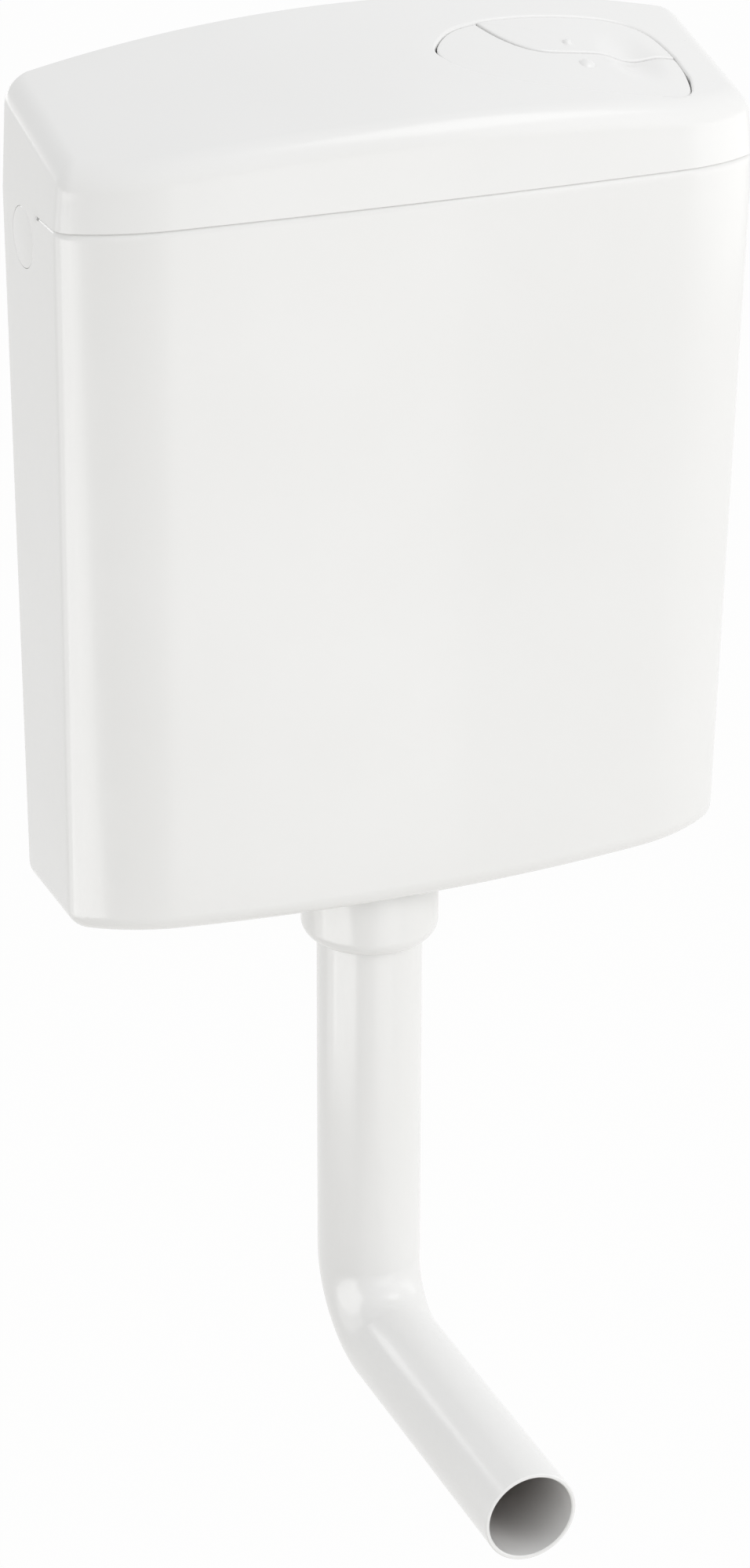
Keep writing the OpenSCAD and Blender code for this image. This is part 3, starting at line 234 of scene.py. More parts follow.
# Finishes
WHITE = (0.9, 0.9, 0.895)
WHITE_SHADE = (0.885, 0.885, 0.878)
# Painted shade: the colour that the pipe's inner wall is darkened towards, deeper inside
PIPE_PAINTED_SHADE = (0.3, 0.27, 0.255)
PLASTIC_IOR = 1.5
COAT_ROUGHNESS = 0.14
DRIFT_SCALE = 9
GLOSS_SCALE = 40
RUBBER_SCALE = 700
STEEL_SCALE = 900
PLASTIC_BUMP = 0.0002
RUBBER_BUMP = 0.0003
STEEL_BUMP = 0.0001

# Light and floor, in metres
LIT_FROM = (0, -0.05, -0.1)
FILL_LEVEL = 0.78
FLOOR_DROP = 0.5
FLOOR_HALF = 6.0
FLOOR_COLOUR = (0.86, 0.85, 0.82)
FLOOR_ROUGHNESS = 0.9
FLOOR_WHITE = 0.95

# Lamps: angle to the right of the front, height angle, distance, size, power, and whether only reflected
LAMPS = {
    "key": (44, 25, 4.6, (2.2, 2.6), 54, False),
    "top_box": (48, 57, 2.3, (1.3, 1.0), 5.5, True),
    "front_panel": (8, -18, 1.2, (0.7, 1.0), 1.4, True),
    "left_panel": (-78, -20, 0.8, (0.66, 0.78), 3.7, True),
    "side_panel": (-112, -20, 0.8, (0.28, 0.78), 0.6, True),
    "rear_panel": (-155, 9, 1.5, (0.64, 0.32), 1.3, True),
    "right_panel": (75, -3, 1.4, (1.13, 0.6), 1.5, True),
}


# Points and meshes


def to_frame(points):
    """Millimetres from the tank's underside to metres in the shared frame."""
    moved = np.array(points, float) - (0, 0, HANG_Z)
    return moved * MM


def mesh_object(name, points, faces):
    mesh = bpy.data.meshes.new(name)
    mesh.from_pydata(to_frame(points).tolist(), [], faces)
    mesh.validate()
    piece = bpy.data.objects.new(name, mesh)
    bpy.context.collection.objects.link(piece)
    return piece


def ring_faces(ring_count, size, first=0, closed=False):
    """Quads between rings of points, each ring running anticlockwise seen from where the rings end."""
    faces = []
    for k in range(ring_count if closed else ring_count - 1):
        low = first + k * size
        high = first + (k + 1) % ring_count * size
        for i in range(size):
            j = (i + 1) % size
            faces.append((low + i, low + j, high + j, high + i))
    return faces


def loft(name, rings, closed=False, caps=(None, None)):
    """A skin through rings of points. Each cap is None, or a middle point that a fan closes on."""
    size = len(rings[0])
    points = [tuple(p) for ring in rings for p in ring]
    faces = ring_faces(len(rings), size, closed=closed)
    low, high = caps
    if low is not None:
        points.append(tuple(low))
        faces += [((i + 1) % size, i, len(points) - 1) for i in range(size)]
    if high is not None:
        last = (len(rings) - 1) * size
        points.append(tuple(high))
        faces += [(last + i, last + (i + 1) % size, len(points) - 1) for i in range(size)]
    return mesh_object(name, points, faces)


def lathe(name, profile, axis_at, turn=None, sides=128, closed=True):
    """Turns (radius, height) points round an upright axis, then moves them by turn and axis_at."""
    turn = turn or Matrix.Identity(3)
    angles = np.linspace(0, 2 * math.pi, sides, endpoint=False)
    rings = []
    for radius, height in profile:
        ring = [turn @ Vector((radius * math.cos(a), radius * math.sin(a), height)) for a in angles]
        rings.append([tuple(p + Vector(axis_at)) for p in ring])
    if closed:
        return loft(name, rings, closed=True)
    middles = [tuple(turn @ Vector((0, 0, h)) + Vector(axis_at)) for h in (profile[0][1], profile[-1][1])]
    return loft(name, rings, caps=middles)


def arc(middle, radius, start, end, steps):
    """Points on a circle, by angle in degrees."""
    angles = np.radians(np.linspace(start, end, steps + 1))
    return [(middle[0] + radius * math.cos(a), middle[1] + radius * math.sin(a)) for a in angles]


def block(name, low, high):
    """A box between two corners, used only to cut or thicken a shell."""
    x, y, z = zip(low, high)
    rings = [[(x[0], y[0], h), (x[1], y[0], h), (x[1], y[1], h), (x[0], y[1], h)] for h in z]
    middle = ((x[0] + x[1]) / 2, (y[0] + y[1]) / 2)
    return loft(name, rings, caps=((*middle, z[0]), (*middle, z[1])))


def extrude_y(name, side, y):
    """A side view, as (x, z) points running anticlockwise seen from the front, between two depths."""
    rings = [[(px, depth, pz) for px, pz in side] for depth in (y[1], y[0])]
    middle = np.mean(np.array(side), axis=0)
    return loft(name, rings, caps=((middle[0], y[1], middle[1]), (middle[0], y[0], middle[1])))


def join(name, pieces):
    """Makes several meshes into one object."""
    whole = bmesh.new()
    for piece in pieces:
        whole.from_mesh(piece.data)
        bpy.data.objects.remove(piece)
    mesh = bpy.data.meshes.new(name)
    whole.to_mesh(mesh)
    whole.free()
    joined = bpy.data.objects.new(name, mesh)
    bpy.context.collection.objects.link(joined)
    return joined


def apply_modifiers(piece):
    graph = bpy.context.evaluated_depsgraph_get()
    mesh = bpy.data.meshes.new_from_object(piece.evaluated_get(graph))
    piece.modifiers.clear()
    piece.data = mesh


def combine(piece, other, operation):
    """Adds another solid to a shell, or cuts it out."""
    change = piece.modifiers.new("combine", "BOOLEAN")
    change.operation = operation
    change.solver = "EXACT"
    change.object = other
    apply_modifiers(piece)
    bpy.data.objects.remove(other)


def smooth(piece, angle=32):
    """Smooth shading with sharp edges kept where faces meet at more than an angle."""
    repair = bmesh.new()
    repair.from_mesh(piece.data)
    bmesh.ops.recalc_face_normals(repair, faces=repair.faces)
    repair.to_mesh(piece.data)
    repair.free()
    piece.data.shade_smooth()
    piece.data.set_sharp_from_angle(angle=math.radians(angle))


def dress(piece, body, slot, material, *nodes):
    """Finishes a piece and hides the solids that it stands for."""
    smooth(piece)
    piece.data.materials.clear()
    piece.data.materials.append(material)
    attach(piece, body)
    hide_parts(*nodes)


# Outline of the tank and the lid

REAR_STEPS = 48
REAR_CORNER_STEPS = 6
SIDE_STEPS = 12
CORNER_STEPS = 20
BLEND_STEPS = 16
BOW_STEPS = 64
FRONT_INDEX = REAR_STEPS + REAR_CORNER_STEPS + SIDE_STEPS + 1


def outline(width, depth, inset=0.0, rear_inset=0.0):
    """Plan of the tank seen from above: flat at the wall, bowed at the front, drawn in by inset."""
    half = width / 2 - inset
    bow_r = (width**2 / 4 + FRONT_BOW**2) / (2 * FRONT_BOW)
    bow_y = bow_r - depth
    r = max(CORNER_R - inset, LEAST_CORNER_R)
    run = BLEND_R - inset
    turn = math.radians(CORNER_TURN)
    corner_x = r - half
    run_x = corner_x + (run - r) * math.cos(turn)
    run_y = bow_y - math.sqrt((bow_r - BLEND_R) ** 2 - run_x**2)
    corner_y = run_y - (run - r) * math.sin(turn)
    turn_end = 180 + CORNER_TURN
    bow_start = 360 + math.degrees(math.atan2(run_y - bow_y, run_x))
    mark = max(-REVEAL_START, corner_y + LEAST_STRAIGHT)
    step_y = mark + GROOVE_STEP
    rear_y = -rear_inset - REAR_CORNER_R
    left = [(-(half - REAR_CORNER_R) * i / REAR_STEPS, -rear_inset) for i in range(REAR_STEPS)]
    left += arc((REAR_CORNER_R - half, rear_y), REAR_CORNER_R, 90, 180, REAR_CORNER_STEPS)
    left += [(-half, rear_y + (step_y - rear_y) * i / SIDE_STEPS) for i in range(1, SIDE_STEPS + 1)]
    left += [(-half, mark)]
    left += arc((corner_x, corner_y), r, 180, turn_end, CORNER_STEPS)
    left += arc((run_x, run_y), run, turn_end, bow_start, BLEND_STEPS)[1:]
    left += arc((0, bow_y), bow_r - inset, bow_start, 270, BOW_STEPS)[1:]
    right = [(-x, y) for x, y in left[-2:0:-1]]
    return np.array(left + right)


def front_part(points):
    """True for the points from the start of the shadow groove to the front."""
    count = len(points)
    places = np.minimum(np.arange(count), count - np.arange(count))
    return places >= FRONT_INDEX


def seam_z(points):
    """Height of the seam, which arches up across the front."""
    x, y = points[:, 0], points[:, 1]
    arch = SEAM_ARCH * np.maximum(0, 1 - (2 * x / TANK_TOP_W) ** 2)
    return TANK_H + np.where(y < -TANK_TOP_D / 2, arch, 0)


def crown_z(points):
    """Height of the lid's top."""
    x, y = points[..., 0], points[..., 1]
    return TANK_H + LID_RISE + LID_SLOPE * y - x**2 / (2 * CROWN_R)


def with_z(points, z):
    return np.column_stack([points, np.broadcast_to(z, len(points))])


def tank_plan(z, inset):
    share = z / TANK_H
    width = TANK_BOTTOM_W + (TANK_TOP_W - TANK_BOTTOM_W) * share
    depth = TANK_BOTTOM_D + (TANK_TOP_D - TANK_BOTTOM_D) * share
    return with_z(outline(width, depth, inset, inset), z)


def lid_plan(inset, rear_inset=0.0):
    return outline(TANK_TOP_W, TANK_TOP_D, inset, rear_inset)


def rim_ring(foot, top, angle):
    """Ring round the top edge of the tank: rounded at the front, square behind the groove's start."""
    opened = np.interp(-top[:, 1], (REVEAL_START, REVEAL_FULL), (REVEAL_LEAST, 1))
    opened = np.where(front_part(top), opened, 0)
    drop = RIM_ROUND_H * opened * (1 - math.sin(angle))
    share = 1 - drop / (top[:, 2] - foot[:, 2])
    ring = foot + (top - foot) * share[:, None]
    ring[:, :2] += (lid_plan(RIM_ROUND_D * (1 - math.cos(angle))) - lid_plan(0)) * opened[:, None]
    return ring


# Tank


def tank_shell():
    quarter = np.radians(np.linspace(0, 90, 11))
    wall_steps = 6
    rings = [tank_plan(BOTTOM_R * (1 - math.cos(a)), BOTTOM_R * (1 - math.sin(a))) for a in quarter]
    foot = rings[-1]
    top = with_z(lid_plan(0), seam_z(lid_plan(0)))
    below_rim = 1 - (RIM_ROUND_H + 1) / TANK_H
    rings += [foot + (top - foot) * below_rim * k / wall_steps for k in range(1, wall_steps + 1)]
    rings += [rim_ring(foot, top, a) for a in np.radians(np.linspace(0, 90, 9))]
    inner_top = lid_plan(TANK_WALL, TANK_WALL)
    rings.append(with_z(inner_top, seam_z(inner_top)))
    floor_r = BOTTOM_R - TANK_WALL
    for a in reversed(quarter):
        height = TANK_WALL + floor_r * (1 - math.cos(a))
        rings.append(tank_plan(height, TANK_WALL + floor_r * (1 - math.sin(a))))
    middle = -TANK_BOTTOM_D / 2
    return loft("tank_shell", rings, caps=((0, middle, 0), (0, middle, TANK_WALL)))


def inlet_wall_x():
    """Half the tank's width at the height of the inlets."""
    return TANK_TOP_W / 2 - (TANK_TOP_W - TANK_BOTTOM_W) / 2 * (1 - INLET_Z / TANK_H)


def inlet_cutter(side):
    """Stepped plug that cuts an inlet hole and the shallow seat round it."""
    seat = CAP_R + CAP_GAP
    profile = [(INLET_R, -2 * TANK_WALL), (INLET_R, -CAP_T), (seat, -CAP_T), (seat, TANK_WALL)]
    turn = Matrix.Rotation(math.radians(90 * side), 3, "Y")
    return lathe("cutter", profile, (side * inlet_wall_x(), INLET_Y, INLET_Z), turn, closed=False)


def screw_cutter(side):
    turn = Matrix.Rotation(math.radians(90), 3, "X")
    profile = [(HANG_R, -TANK_WALL), (HANG_R, 2 * TANK_WALL)]
    return lathe("cutter", profile, (side * HANG_X, 0, HANG_Z), turn, sides=48, closed=False)


def slot_cutter(side):
    """Small notch in the rim where the shadow groove begins."""
    low, high = SLOT_REACH
    x = sorted(side * v for v in (TANK_TOP_W / 2 - SLOT_DEPTH, TANK_TOP_W / 2 + 1))
    return block("cutter", (x[0], -high, TANK_H - SLOT_H), (x[1], -low, TANK_H + 1))


def make_tank(material):
    tank = tank_shell()
    boss = lathe("boss", [(BOSS_R, TANK_WALL / 2), (BOSS_R, BOSS_TOP)], (*OUTLET, 0), closed=False)
    ledges = []
    for low, high in (LEDGE_REAR_Y, LEDGE_FRONT_Y):
        ledges.append(block("ledge", (LEDGE_X[0], low, LEDGE_Z[0]), (LEDGE_X[1], high, LEDGE_Z[1])))
    combine(tank, join("additions", [boss, *ledges]), "UNION")
    outlet = [(POCKET_R, -1), (POCKET_R, POCKET_H), (SPIGOT_HOLE_R, POCKET_H), (SPIGOT_HOLE_R, BOSS_TOP + 1)]
    cutters = [lathe("cutter", outlet, (*OUTLET, 0), closed=False)]
    cutters += [cut(side) for cut in (inlet_cutter, screw_cutter, slot_cutter) for side in (-1, 1)]
    combine(tank, join("cutters", cutters), "DIFFERENCE")
    tank.name = "tank_shell"
    dress(tank, "tank", "cistern_white", material, "cistern_body")


def make_cap(material):
    """Blanking cap with a softened edge, just proud of its seat, and the spigot behind it."""
    flat_r = CAP_R - CAP_EDGE
    dome_r = (flat_r**2 + CAP_PROUD**2) / (2 * CAP_PROUD)
    face = [(r, CAP_PROUD - dome_r + math.sqrt(dome_r**2 - r**2)) for r in np.linspace(AXIS_R, flat_r, 12)]
    face += arc((flat_r, -CAP_EDGE), CAP_EDGE, 75, 0, 6)
    seat_z = CAP_LIFT - CAP_T
    floor_z = -CAP_T - CAP_FLOOR
    spigot_r = INLET_R - CAP_SPIGOT_PLAY
    bore_r = INLET_R - CAP_SPIGOT_WALL
    back = [(CAP_R, seat_z), (spigot_r, seat_z), (spigot_r, -CAP_SPIGOT_L), (bore_r, -CAP_SPIGOT_L)]
    back += [(bore_r, floor_z), (AXIS_R, floor_z)]
    turn = Matrix.Rotation(math.radians(-90), 3, "Y")
    place = (-inlet_wall_x(), INLET_Y + CAP_SHIFT, INLET_Z)
    cap = lathe("blanking_cap_face", face + back, place, turn)
    dress(cap, "tank", "cistern_white", material, "blanking_cap")


# Leaf of the two buttons

LEAF_SHAPE = np.array([
    (1, 0.46), (0.96, 0.16), (0.845, 0.028), (0.66, 0), (0.44, 0.024), (0.244, 0.086), (0.094, 0.2),
    (0, 0.42), (0.06, 0.645), (0.22, 0.81), (0.49, 0.945), (0.8, 1), (0.932, 0.94), (0.987, 0.71),
])
SPLIT_INDEX = 5
LEAF_ENDS = ((0, 0.42), (0.987, 0.71))
SPLIT_BEND = np.array([LEAF_SHAPE[SPLIT_INDEX], (0.288, 0.284), (0.359, 0.46), (0.491, 0.46)])
LEAF_STEPS = 16
SPLIT_STEPS = 32
LEAF_MID = np.array([LEAF_LEFT + LEAF_L / 2, -LEAF_REAR - LEAF_W / 2])


def on_lid(shares):
    """Shares of the leaf's length and width to a place on the lid."""
    shares = np.asarray(shares, float)
    return np.column_stack([LEAF_LEFT + shares[:, 0] * LEAF_L, -LEAF_REAR - shares[:, 1] * LEAF_W])


def leaf_span(start, end):
    """Smooth curve through the leaf's points from one to another."""
    points = []
    for k in range(start, end):
        a, b, c, d = (LEAF_SHAPE[(k + step) % len(LEAF_SHAPE)] for step in (-1, 0, 1, 2))
        for t in np.arange(LEAF_STEPS) / LEAF_STEPS:
            cubic = (3 * b - a - 3 * c + d) * t**3
            points.append(0.5 * (2 * b + (c - a) * t + (2 * a - 5 * b + 4 * c - d) * t**2 + cubic))
    return on_lid(points)


def split_side(side):
    """Edge of a button along the split: the half button's for side 1, and the full button's for -1.

    The gap between them narrows to the right.
    """
    t = np.linspace(0, 1, SPLIT_STEPS, endpoint=False)[:, None]
    p0, p1, p2, p3 = SPLIT_BEND
    bend = (1 - t) ** 3 * p0 + 3 * (1 - t) ** 2 * t * p1 + 3 * (1 - t) * t**2 * p2 + t**3 * p3
    run = p3 + (LEAF_SHAPE[0] - p3) * np.linspace(0, 1, SPLIT_STEPS + 1)[:, None]
    line = on_lid(np.vstack([bend, run]))
    along = np.gradient(line, axis=0)
    along /= np.linalg.norm(along, axis=1)[:, None]
    gap = np.interp(np.arange(len(line)), (0, SPLIT_STEPS), (SPLIT_GAP, SPLIT_LEAST))[:, None]
    return line + side * gap / 2 * np.column_stack([-along[:, 1], along[:, 0]])


def grown(loop, distance):
    """A closed anticlockwise outline moved outwards."""
    before = loop - np.roll(loop, 1, axis=0)
    after = np.roll(loop, -1, axis=0) - loop
    normals = []
    for step in (before, after):
        step = step / np.linalg.norm(step, axis=1)[:, None]
        normals.append(np.column_stack([step[:, 1], -step[:, 0]]))
    a, b = normals
    return loop + np.reshape(distance, (-1, 1)) * (a + b) / (1 + np.sum(a * b, axis=1))[:, None]


LEAF = leaf_span(0, len(LEAF_SHAPE))
HALF_LOOP = np.vstack([leaf_span(0, SPLIT_INDEX)[1:], split_side(1)])
FULL_LOOP = np.vstack([leaf_span(SPLIT_INDEX, len(LEAF_SHAPE))[1:], split_side(-1)[::-1]])


def leaf_gap():
    """Gap round the buttons at each point of the leaf: narrow, and wider at the two ends."""
    reach = np.linalg.norm(LEAF[:, None] - on_lid(LEAF_ENDS), axis=2).min(axis=1)
    return LEAF_GAP + (LEAF_END_GAP - LEAF_GAP) * np.exp(-((reach / LEAF_END_SPREAD) ** 2))


def leaf_towards(points, distance):
    """Points of the opening, grown by a distance, that lie towards other points from the leaf's middle."""
    loop = grown(LEAF, leaf_gap() + distance) - LEAF_MID
    loop_angle = np.arctan2(loop[:, 1], loop[:, 0])
    order = np.argsort(loop_angle)
    radius = np.linalg.norm(loop, axis=1)[order]
    wanted = points - LEAF_MID
    angle = np.arctan2(wanted[:, 1], wanted[:, 0])
    reach = np.interp(angle, loop_angle[order], radius, period=2 * math.pi)
    return LEAF_MID + reach[:, None] * np.column_stack([np.cos(angle), np.sin(angle)])


# Lid


def lid_rings():
    """Rings from the opening's lower edge, over the top, down the sides and back along the inside."""
    top = lid_plan(LID_LEAN + LID_EDGE_R, LID_REAR_ROUND)
    rings = []

    def add(points, z):
        rings.append(with_z(points, z))

    opening = leaf_towards(top, 0)
    add(opening, crown_z(opening) - LID_WALL)
    add(opening, crown_z(opening) - OPENING_ROUND)
    for a in np.radians(np.linspace(15, 90, 6)):
        points = leaf_towards(top, OPENING_ROUND * (1 - math.cos(a)))
        add(points, crown_z(points) - OPENING_ROUND * (1 - math.sin(a)))
    inner = leaf_towards(top, OPENING_ROUND)
    for share in np.linspace(0, 1, 15)[1:]:
        points = inner + (top - inner) * share
        add(points, crown_z(points))
    for a in np.radians(np.linspace(82.5, 0, 12)):
        points = lid_plan(LID_LEAN + LID_EDGE_R * (1 - math.cos(a)), 0)
        add(points, crown_z(points) - LID_EDGE_R * (1 - math.sin(a)))
    shoulder = rings[-1]
    skirt = lid_plan(0)
    front = front_part(skirt)
    gap = np.where(front, SEAM_GAP, 0)
    skirt = with_z(skirt, seam_z(skirt) + gap + LID_LOWER_ROUND)
    for share in np.linspace(0, 1, 6)[1:]:
        rings.append(shoulder + (skirt - shoulder) * share)
    for share in (0.3, 1):
        points = np.where(front[:, None], lid_plan(LID_LOWER_ROUND * share), lid_plan(0))
        add(points, seam_z(points) + gap + np.where(front, LID_LOWER_ROUND * (1 - share), 0))
    return rings + lid_inner_rings(top)


def lid_inner_rings(top):
    rings = []

    def add(points, z):
        rings.append(with_z(points, z))

    outer_lip = lid_plan(LIP_INSET, LIP_INSET)
    inner_lip = lid_plan(LIP_INSET + LIP_WALL, LIP_INSET + LIP_WALL)
    drop = np.where(front_part(outer_lip), -LIP_DEPTH, 0)
    add(outer_lip, seam_z(outer_lip) + np.where(front_part(outer_lip), SEAM_GAP, 0))
    add(outer_lip, seam_z(outer_lip) + drop)
    add(inner_lip, seam_z(inner_lip) + drop)
    add(inner_lip, seam_z(inner_lip) + LIP_TOP)
    points = lid_plan(LID_WALL, LID_WALL)
    add(points, seam_z(points) + SKIRT_TOP)
    inner_r = LID_EDGE_R - LID_WALL
    for a in np.radians(np.linspace(0, 90, 7)):
        points = lid_plan(LID_LEAN + LID_WALL + inner_r * (1 - math.cos(a)), LID_WALL)
        add(points, crown_z(points) - LID_WALL - inner_r * (1 - math.sin(a)))
    ceiling = rings[-1][:, :2]
    opening = leaf_towards(top, 0)
    for share in np.linspace(0, 1, 9)[1:-1]:
        points = ceiling + (opening - ceiling) * share
        add(points, crown_z(points) - LID_WALL)
    return rings


def screw_boss(place):
    """Boss that a carrier screw bites into, up to the underside of the lid."""
    top = float(crown_z(np.array(place, float)) - LID_WALL / 2)
    low = TANK_H + SCREW_BOSS_LOW
    profile = [(SCREW_HOLE_R, low), (SCREW_BOSS_R, low), (SCREW_BOSS_R, top), (SCREW_HOLE_R, top)]
    return lathe("boss", profile, (*place, 0), sides=48)


def make_lid(material):
    bosses = [screw_boss(place) for place in SCREW_PLACES]
    lid = join("lid_shell", [loft("lid_shell", lid_rings(), closed=True), *bosses])
    dress(lid, "cover", "cistern_white", material, "lid")


# Buttons


def button_z(points):
    """Height of the buttons' top: the lid's crown with a finger dish pressed into it."""
    x, y = points[..., 0], points[..., 1]
    u = np.hypot(2 * (x - DISH_MID[0]) / DISH_W, 2 * (y - DISH_MID[1]) / DISH_L)
    dish = np.where(u < 1, DISH_DEPTH * (1 + np.cos(np.pi * np.minimum(u, 1))) / 2, 0)
    return crown_z(points) - dish


def button_shell(name, loop, middle, sink):
    """Closed button plate: crowned and dished on top, with rolled edges and a rim below."""
    middle = on_lid([middle])[0]
    rim = middle + (loop - middle) * BUTTON_RIM_SHARE
    rings = []
    for share in (0.1, 0.35, 0.65):
        points = middle + (rim - middle) * share
        rings.append(with_z(points, button_z(points) - sink - BUTTON_T))
    rings.append(with_z(rim, button_z(rim) - sink - BUTTON_T))
    rings.append(with_z(rim, crown_z(rim) - BUTTON_RIM_H))
    rings.append(with_z(loop, crown_z(loop) - BUTTON_RIM_H))
    for a in np.radians(np.linspace(0, 90, 7)):
        points = grown(loop, -BUTTON_EDGE * (1 - math.cos(a)))
        rings.append(with_z(points, button_z(points) - sink - BUTTON_EDGE * (1 - math.sin(a))))
    edge = rings[-1][:, :2]
    for share in np.linspace(1, 0.02, 36)[1:]:
        points = middle + (edge - middle) * share
        rings.append(with_z(points, button_z(points) - sink))
    top = float(button_z(middle)) - sink
    caps = ((*middle, top - BUTTON_T), (*middle, top))
    return loft(name, rings, caps=caps)


def dot(place, diameter, sink):
    """Low dome that stands up from a button, with a small fillet at its foot."""
    r = diameter / 2
    ball = (r**2 + DOT_H**2) / (2 * DOT_H)
    profile = [(r + out, up) for out, up in DOT_FILLET]
    for x in np.linspace(r * DOT_EDGE_SHARE, DOT_TIP_R, 10):
        profile.append((x, math.sqrt(ball**2 - x**2) - ball + DOT_H))
    tilt = Matrix.Rotation(math.atan(LID_SLOPE), 3, "X")
    top = float(button_z(np.array(place, float))) - sink
    return lathe("dot", profile, (*place, top), tilt, sides=64, closed=False)


def push_socket(y):
    """Socket under a button for its push rod."""
    surface = float(button_z(np.array((ROD_X, y), float)))
    top = surface - SOCKET_COVER
    low = surface - SOCKET_REACH
    profile = [(SOCKET_HOLE_R, low), (SOCKET_R, low), (SOCKET_R, top), (SOCKET_HOLE_R, top)]
    return lathe("socket", profile, (ROD_X, y, 0), sides=48)


def hinge_lug(y):
    """Round-ended lug under the full flush button."""
    x = HINGE[0]
    top = float(crown_z(np.array((x, sum(y) / 2)))) - SOCKET_COVER
    side = [(x + HINGE_LUG_R, top), (x - HINGE_LUG_R, top)] + arc(HINGE, HINGE_LUG_R, 180, 360, 24)
    return extrude_y("lug", side, y)


def half_arm():
    """Arm that reaches from the hinge pin, under the full flush button, to the half flush button."""
    z = HINGE[1]
    near, far = HALF_POST_X
    top = float(crown_z(np.array((far, sum(HALF_ARM_Y) / 2)))) - SOCKET_COVER
    side = [(far, top), (near, top), (near, z + HINGE_LUG_R)]
    side += arc(HINGE, HINGE_LUG_R, 90, 270, 24)
    side += [(far, z - HINGE_LUG_R)]
    return extrude_y("arm", side, HALF_ARM_Y)


def make_buttons(material):
    full = [
        button_shell("full_plate", FULL_LOOP, FULL_MIDDLE, FULL_SINK),
        dot(FULL_DOT, FULL_DOT_D, FULL_SINK),
        push_socket(FULL_ROD_Y),
        *(hinge_lug(y) for y in HINGE_LUGS_Y),
    ]
    half = [
        button_shell("half_plate", HALF_LOOP, HALF_MIDDLE, HALF_SINK),
        dot(HALF_DOT, HALF_DOT_D, HALF_SINK),
        push_socket(HALF_ROD_Y),
        half_arm(),
    ]
    for side, pieces in (("full", full), ("half", half)):
        button = join(f"{side}_button_top", pieces)
        dress(button, f"{side}_button", "button_white", material, f"{side}_flush_button")


# Flush pipe and coupling nut


def pipe_ring(place, across, up, radius, sides=96):
    """Ring round a place on the pipe's middle line, in the plane of two directions."""
    angles = np.linspace(0, 2 * math.pi, sides, endpoint=False)
    spread = np.outer(np.cos(angles), across) + np.outer(np.sin(angles), up)
    return np.array(place) + radius * spread


def pipe_path():
    """Stations along the pipe: a place, the direction of its ring's second axis and the outer radius."""
    x, y = OUTLET
    bend_z = BEND_R - PIPE_DROP
    stations = [((x, y, z), (0, 1, 0), PIPE_TOP_R) for z in np.linspace(PIPE_TOP, bend_z, 12)]
    for turn in np.linspace(0, 90, 25)[1:]:
        a = math.radians(turn)
        place = (x, y - BEND_R + BEND_R * math.cos(a), bend_z - BEND_R * math.sin(a))
        radius = PIPE_TOP_R + (PIPE_END_R - PIPE_TOP_R) * turn / 90
        stations.append((place, (0, math.cos(a), -math.sin(a)), radius))
    lower_limb = np.linspace(y - BEND_R, -PIPE_REACH, 10)[1:]
    stations += [((x, py, -PIPE_DROP), (0, 0, -1), PIPE_END_R) for py in lower_limb]
    return stations


def make_pipe(material):
    stations = pipe_path()
    across = (1, 0, 0)
    rings = [pipe_ring(place, across, up, radius) for place, up, radius in stations]
    place, up, radius = stations[-1]
    rings[-1] = pipe_ring(np.array(place) + (0, PIPE_LIP, 0), across, up, radius)
    rings.append(pipe_ring(place, across, up, radius - PIPE_LIP))
    rings.append(pipe_ring(place, across, up, radius - PIPE_WALL + PIPE_LIP))
    inner = [pipe_ring(at, across, axis, r - PIPE_WALL) for at, axis, r in stations]
    inner[-1] = pipe_ring(np.array(place) + (0, PIPE_LIP, 0), across, up, radius - PIPE_WALL)
    outer_count = len(rings)
    rings += reversed(inner)
    pipe = loft("flush_bend", rings, closed=True)
    # Painted shade: each inner ring gets a share that grows with its depth from the mouth, so the pipe's
    # inside is painted darker the deeper it lies, as shade would make it
    depths = [np.linalg.norm(np.mean(ring, axis=0) - np.array(place)) for ring in rings[outer_count:]]
    shade = np.zeros(len(rings))
    shade[outer_count:] = np.minimum(np.array(depths) / PAINTED_SHADE_DEPTH, 1)
    values = np.repeat(shade, len(rings[0])).astype(np.float32)
    pipe.data.attributes.new("inside", "FLOAT", "POINT").data.foreach_set("value", values)
    dress(pipe, "tank", "pipe_white", material, "flush_pipe")


def make_collar(material):
    bore = SPIGOT_HOLE_R - COLLAR_PLAY
    neck = PIPE_TOP_R + NECK_PLAY
    floor_z = COLLAR_LOW + COLLAR_FLOOR
    profile = [(bore, COLLAR_TOP), (bore, floor_z), (neck, floor_z)]
    profile += [(neck, COLLAR_LOW + NECK_CHAMFER_H), (PIPE_TOP_R + NECK_MOUTH, COLLAR_LOW)]
    middle = (COLLAR_R - COLLAR_ROUND, COLLAR_LOW + COLLAR_ROUND)
    rounding = arc(middle, COLLAR_ROUND, 270, 360, 16)
    profile += [point for point in rounding if point[0] > PIPE_TOP_R + NECK_LAND]
    profile += [(COLLAR_R - inward, COLLAR_TOP - down) for inward, down in COLLAR_EDGE]
    collar = lathe("collar", profile, (*OUTLET, 0))
    dress(collar, "tank", "pipe_white", material, "coupling_nut")


# Return springs


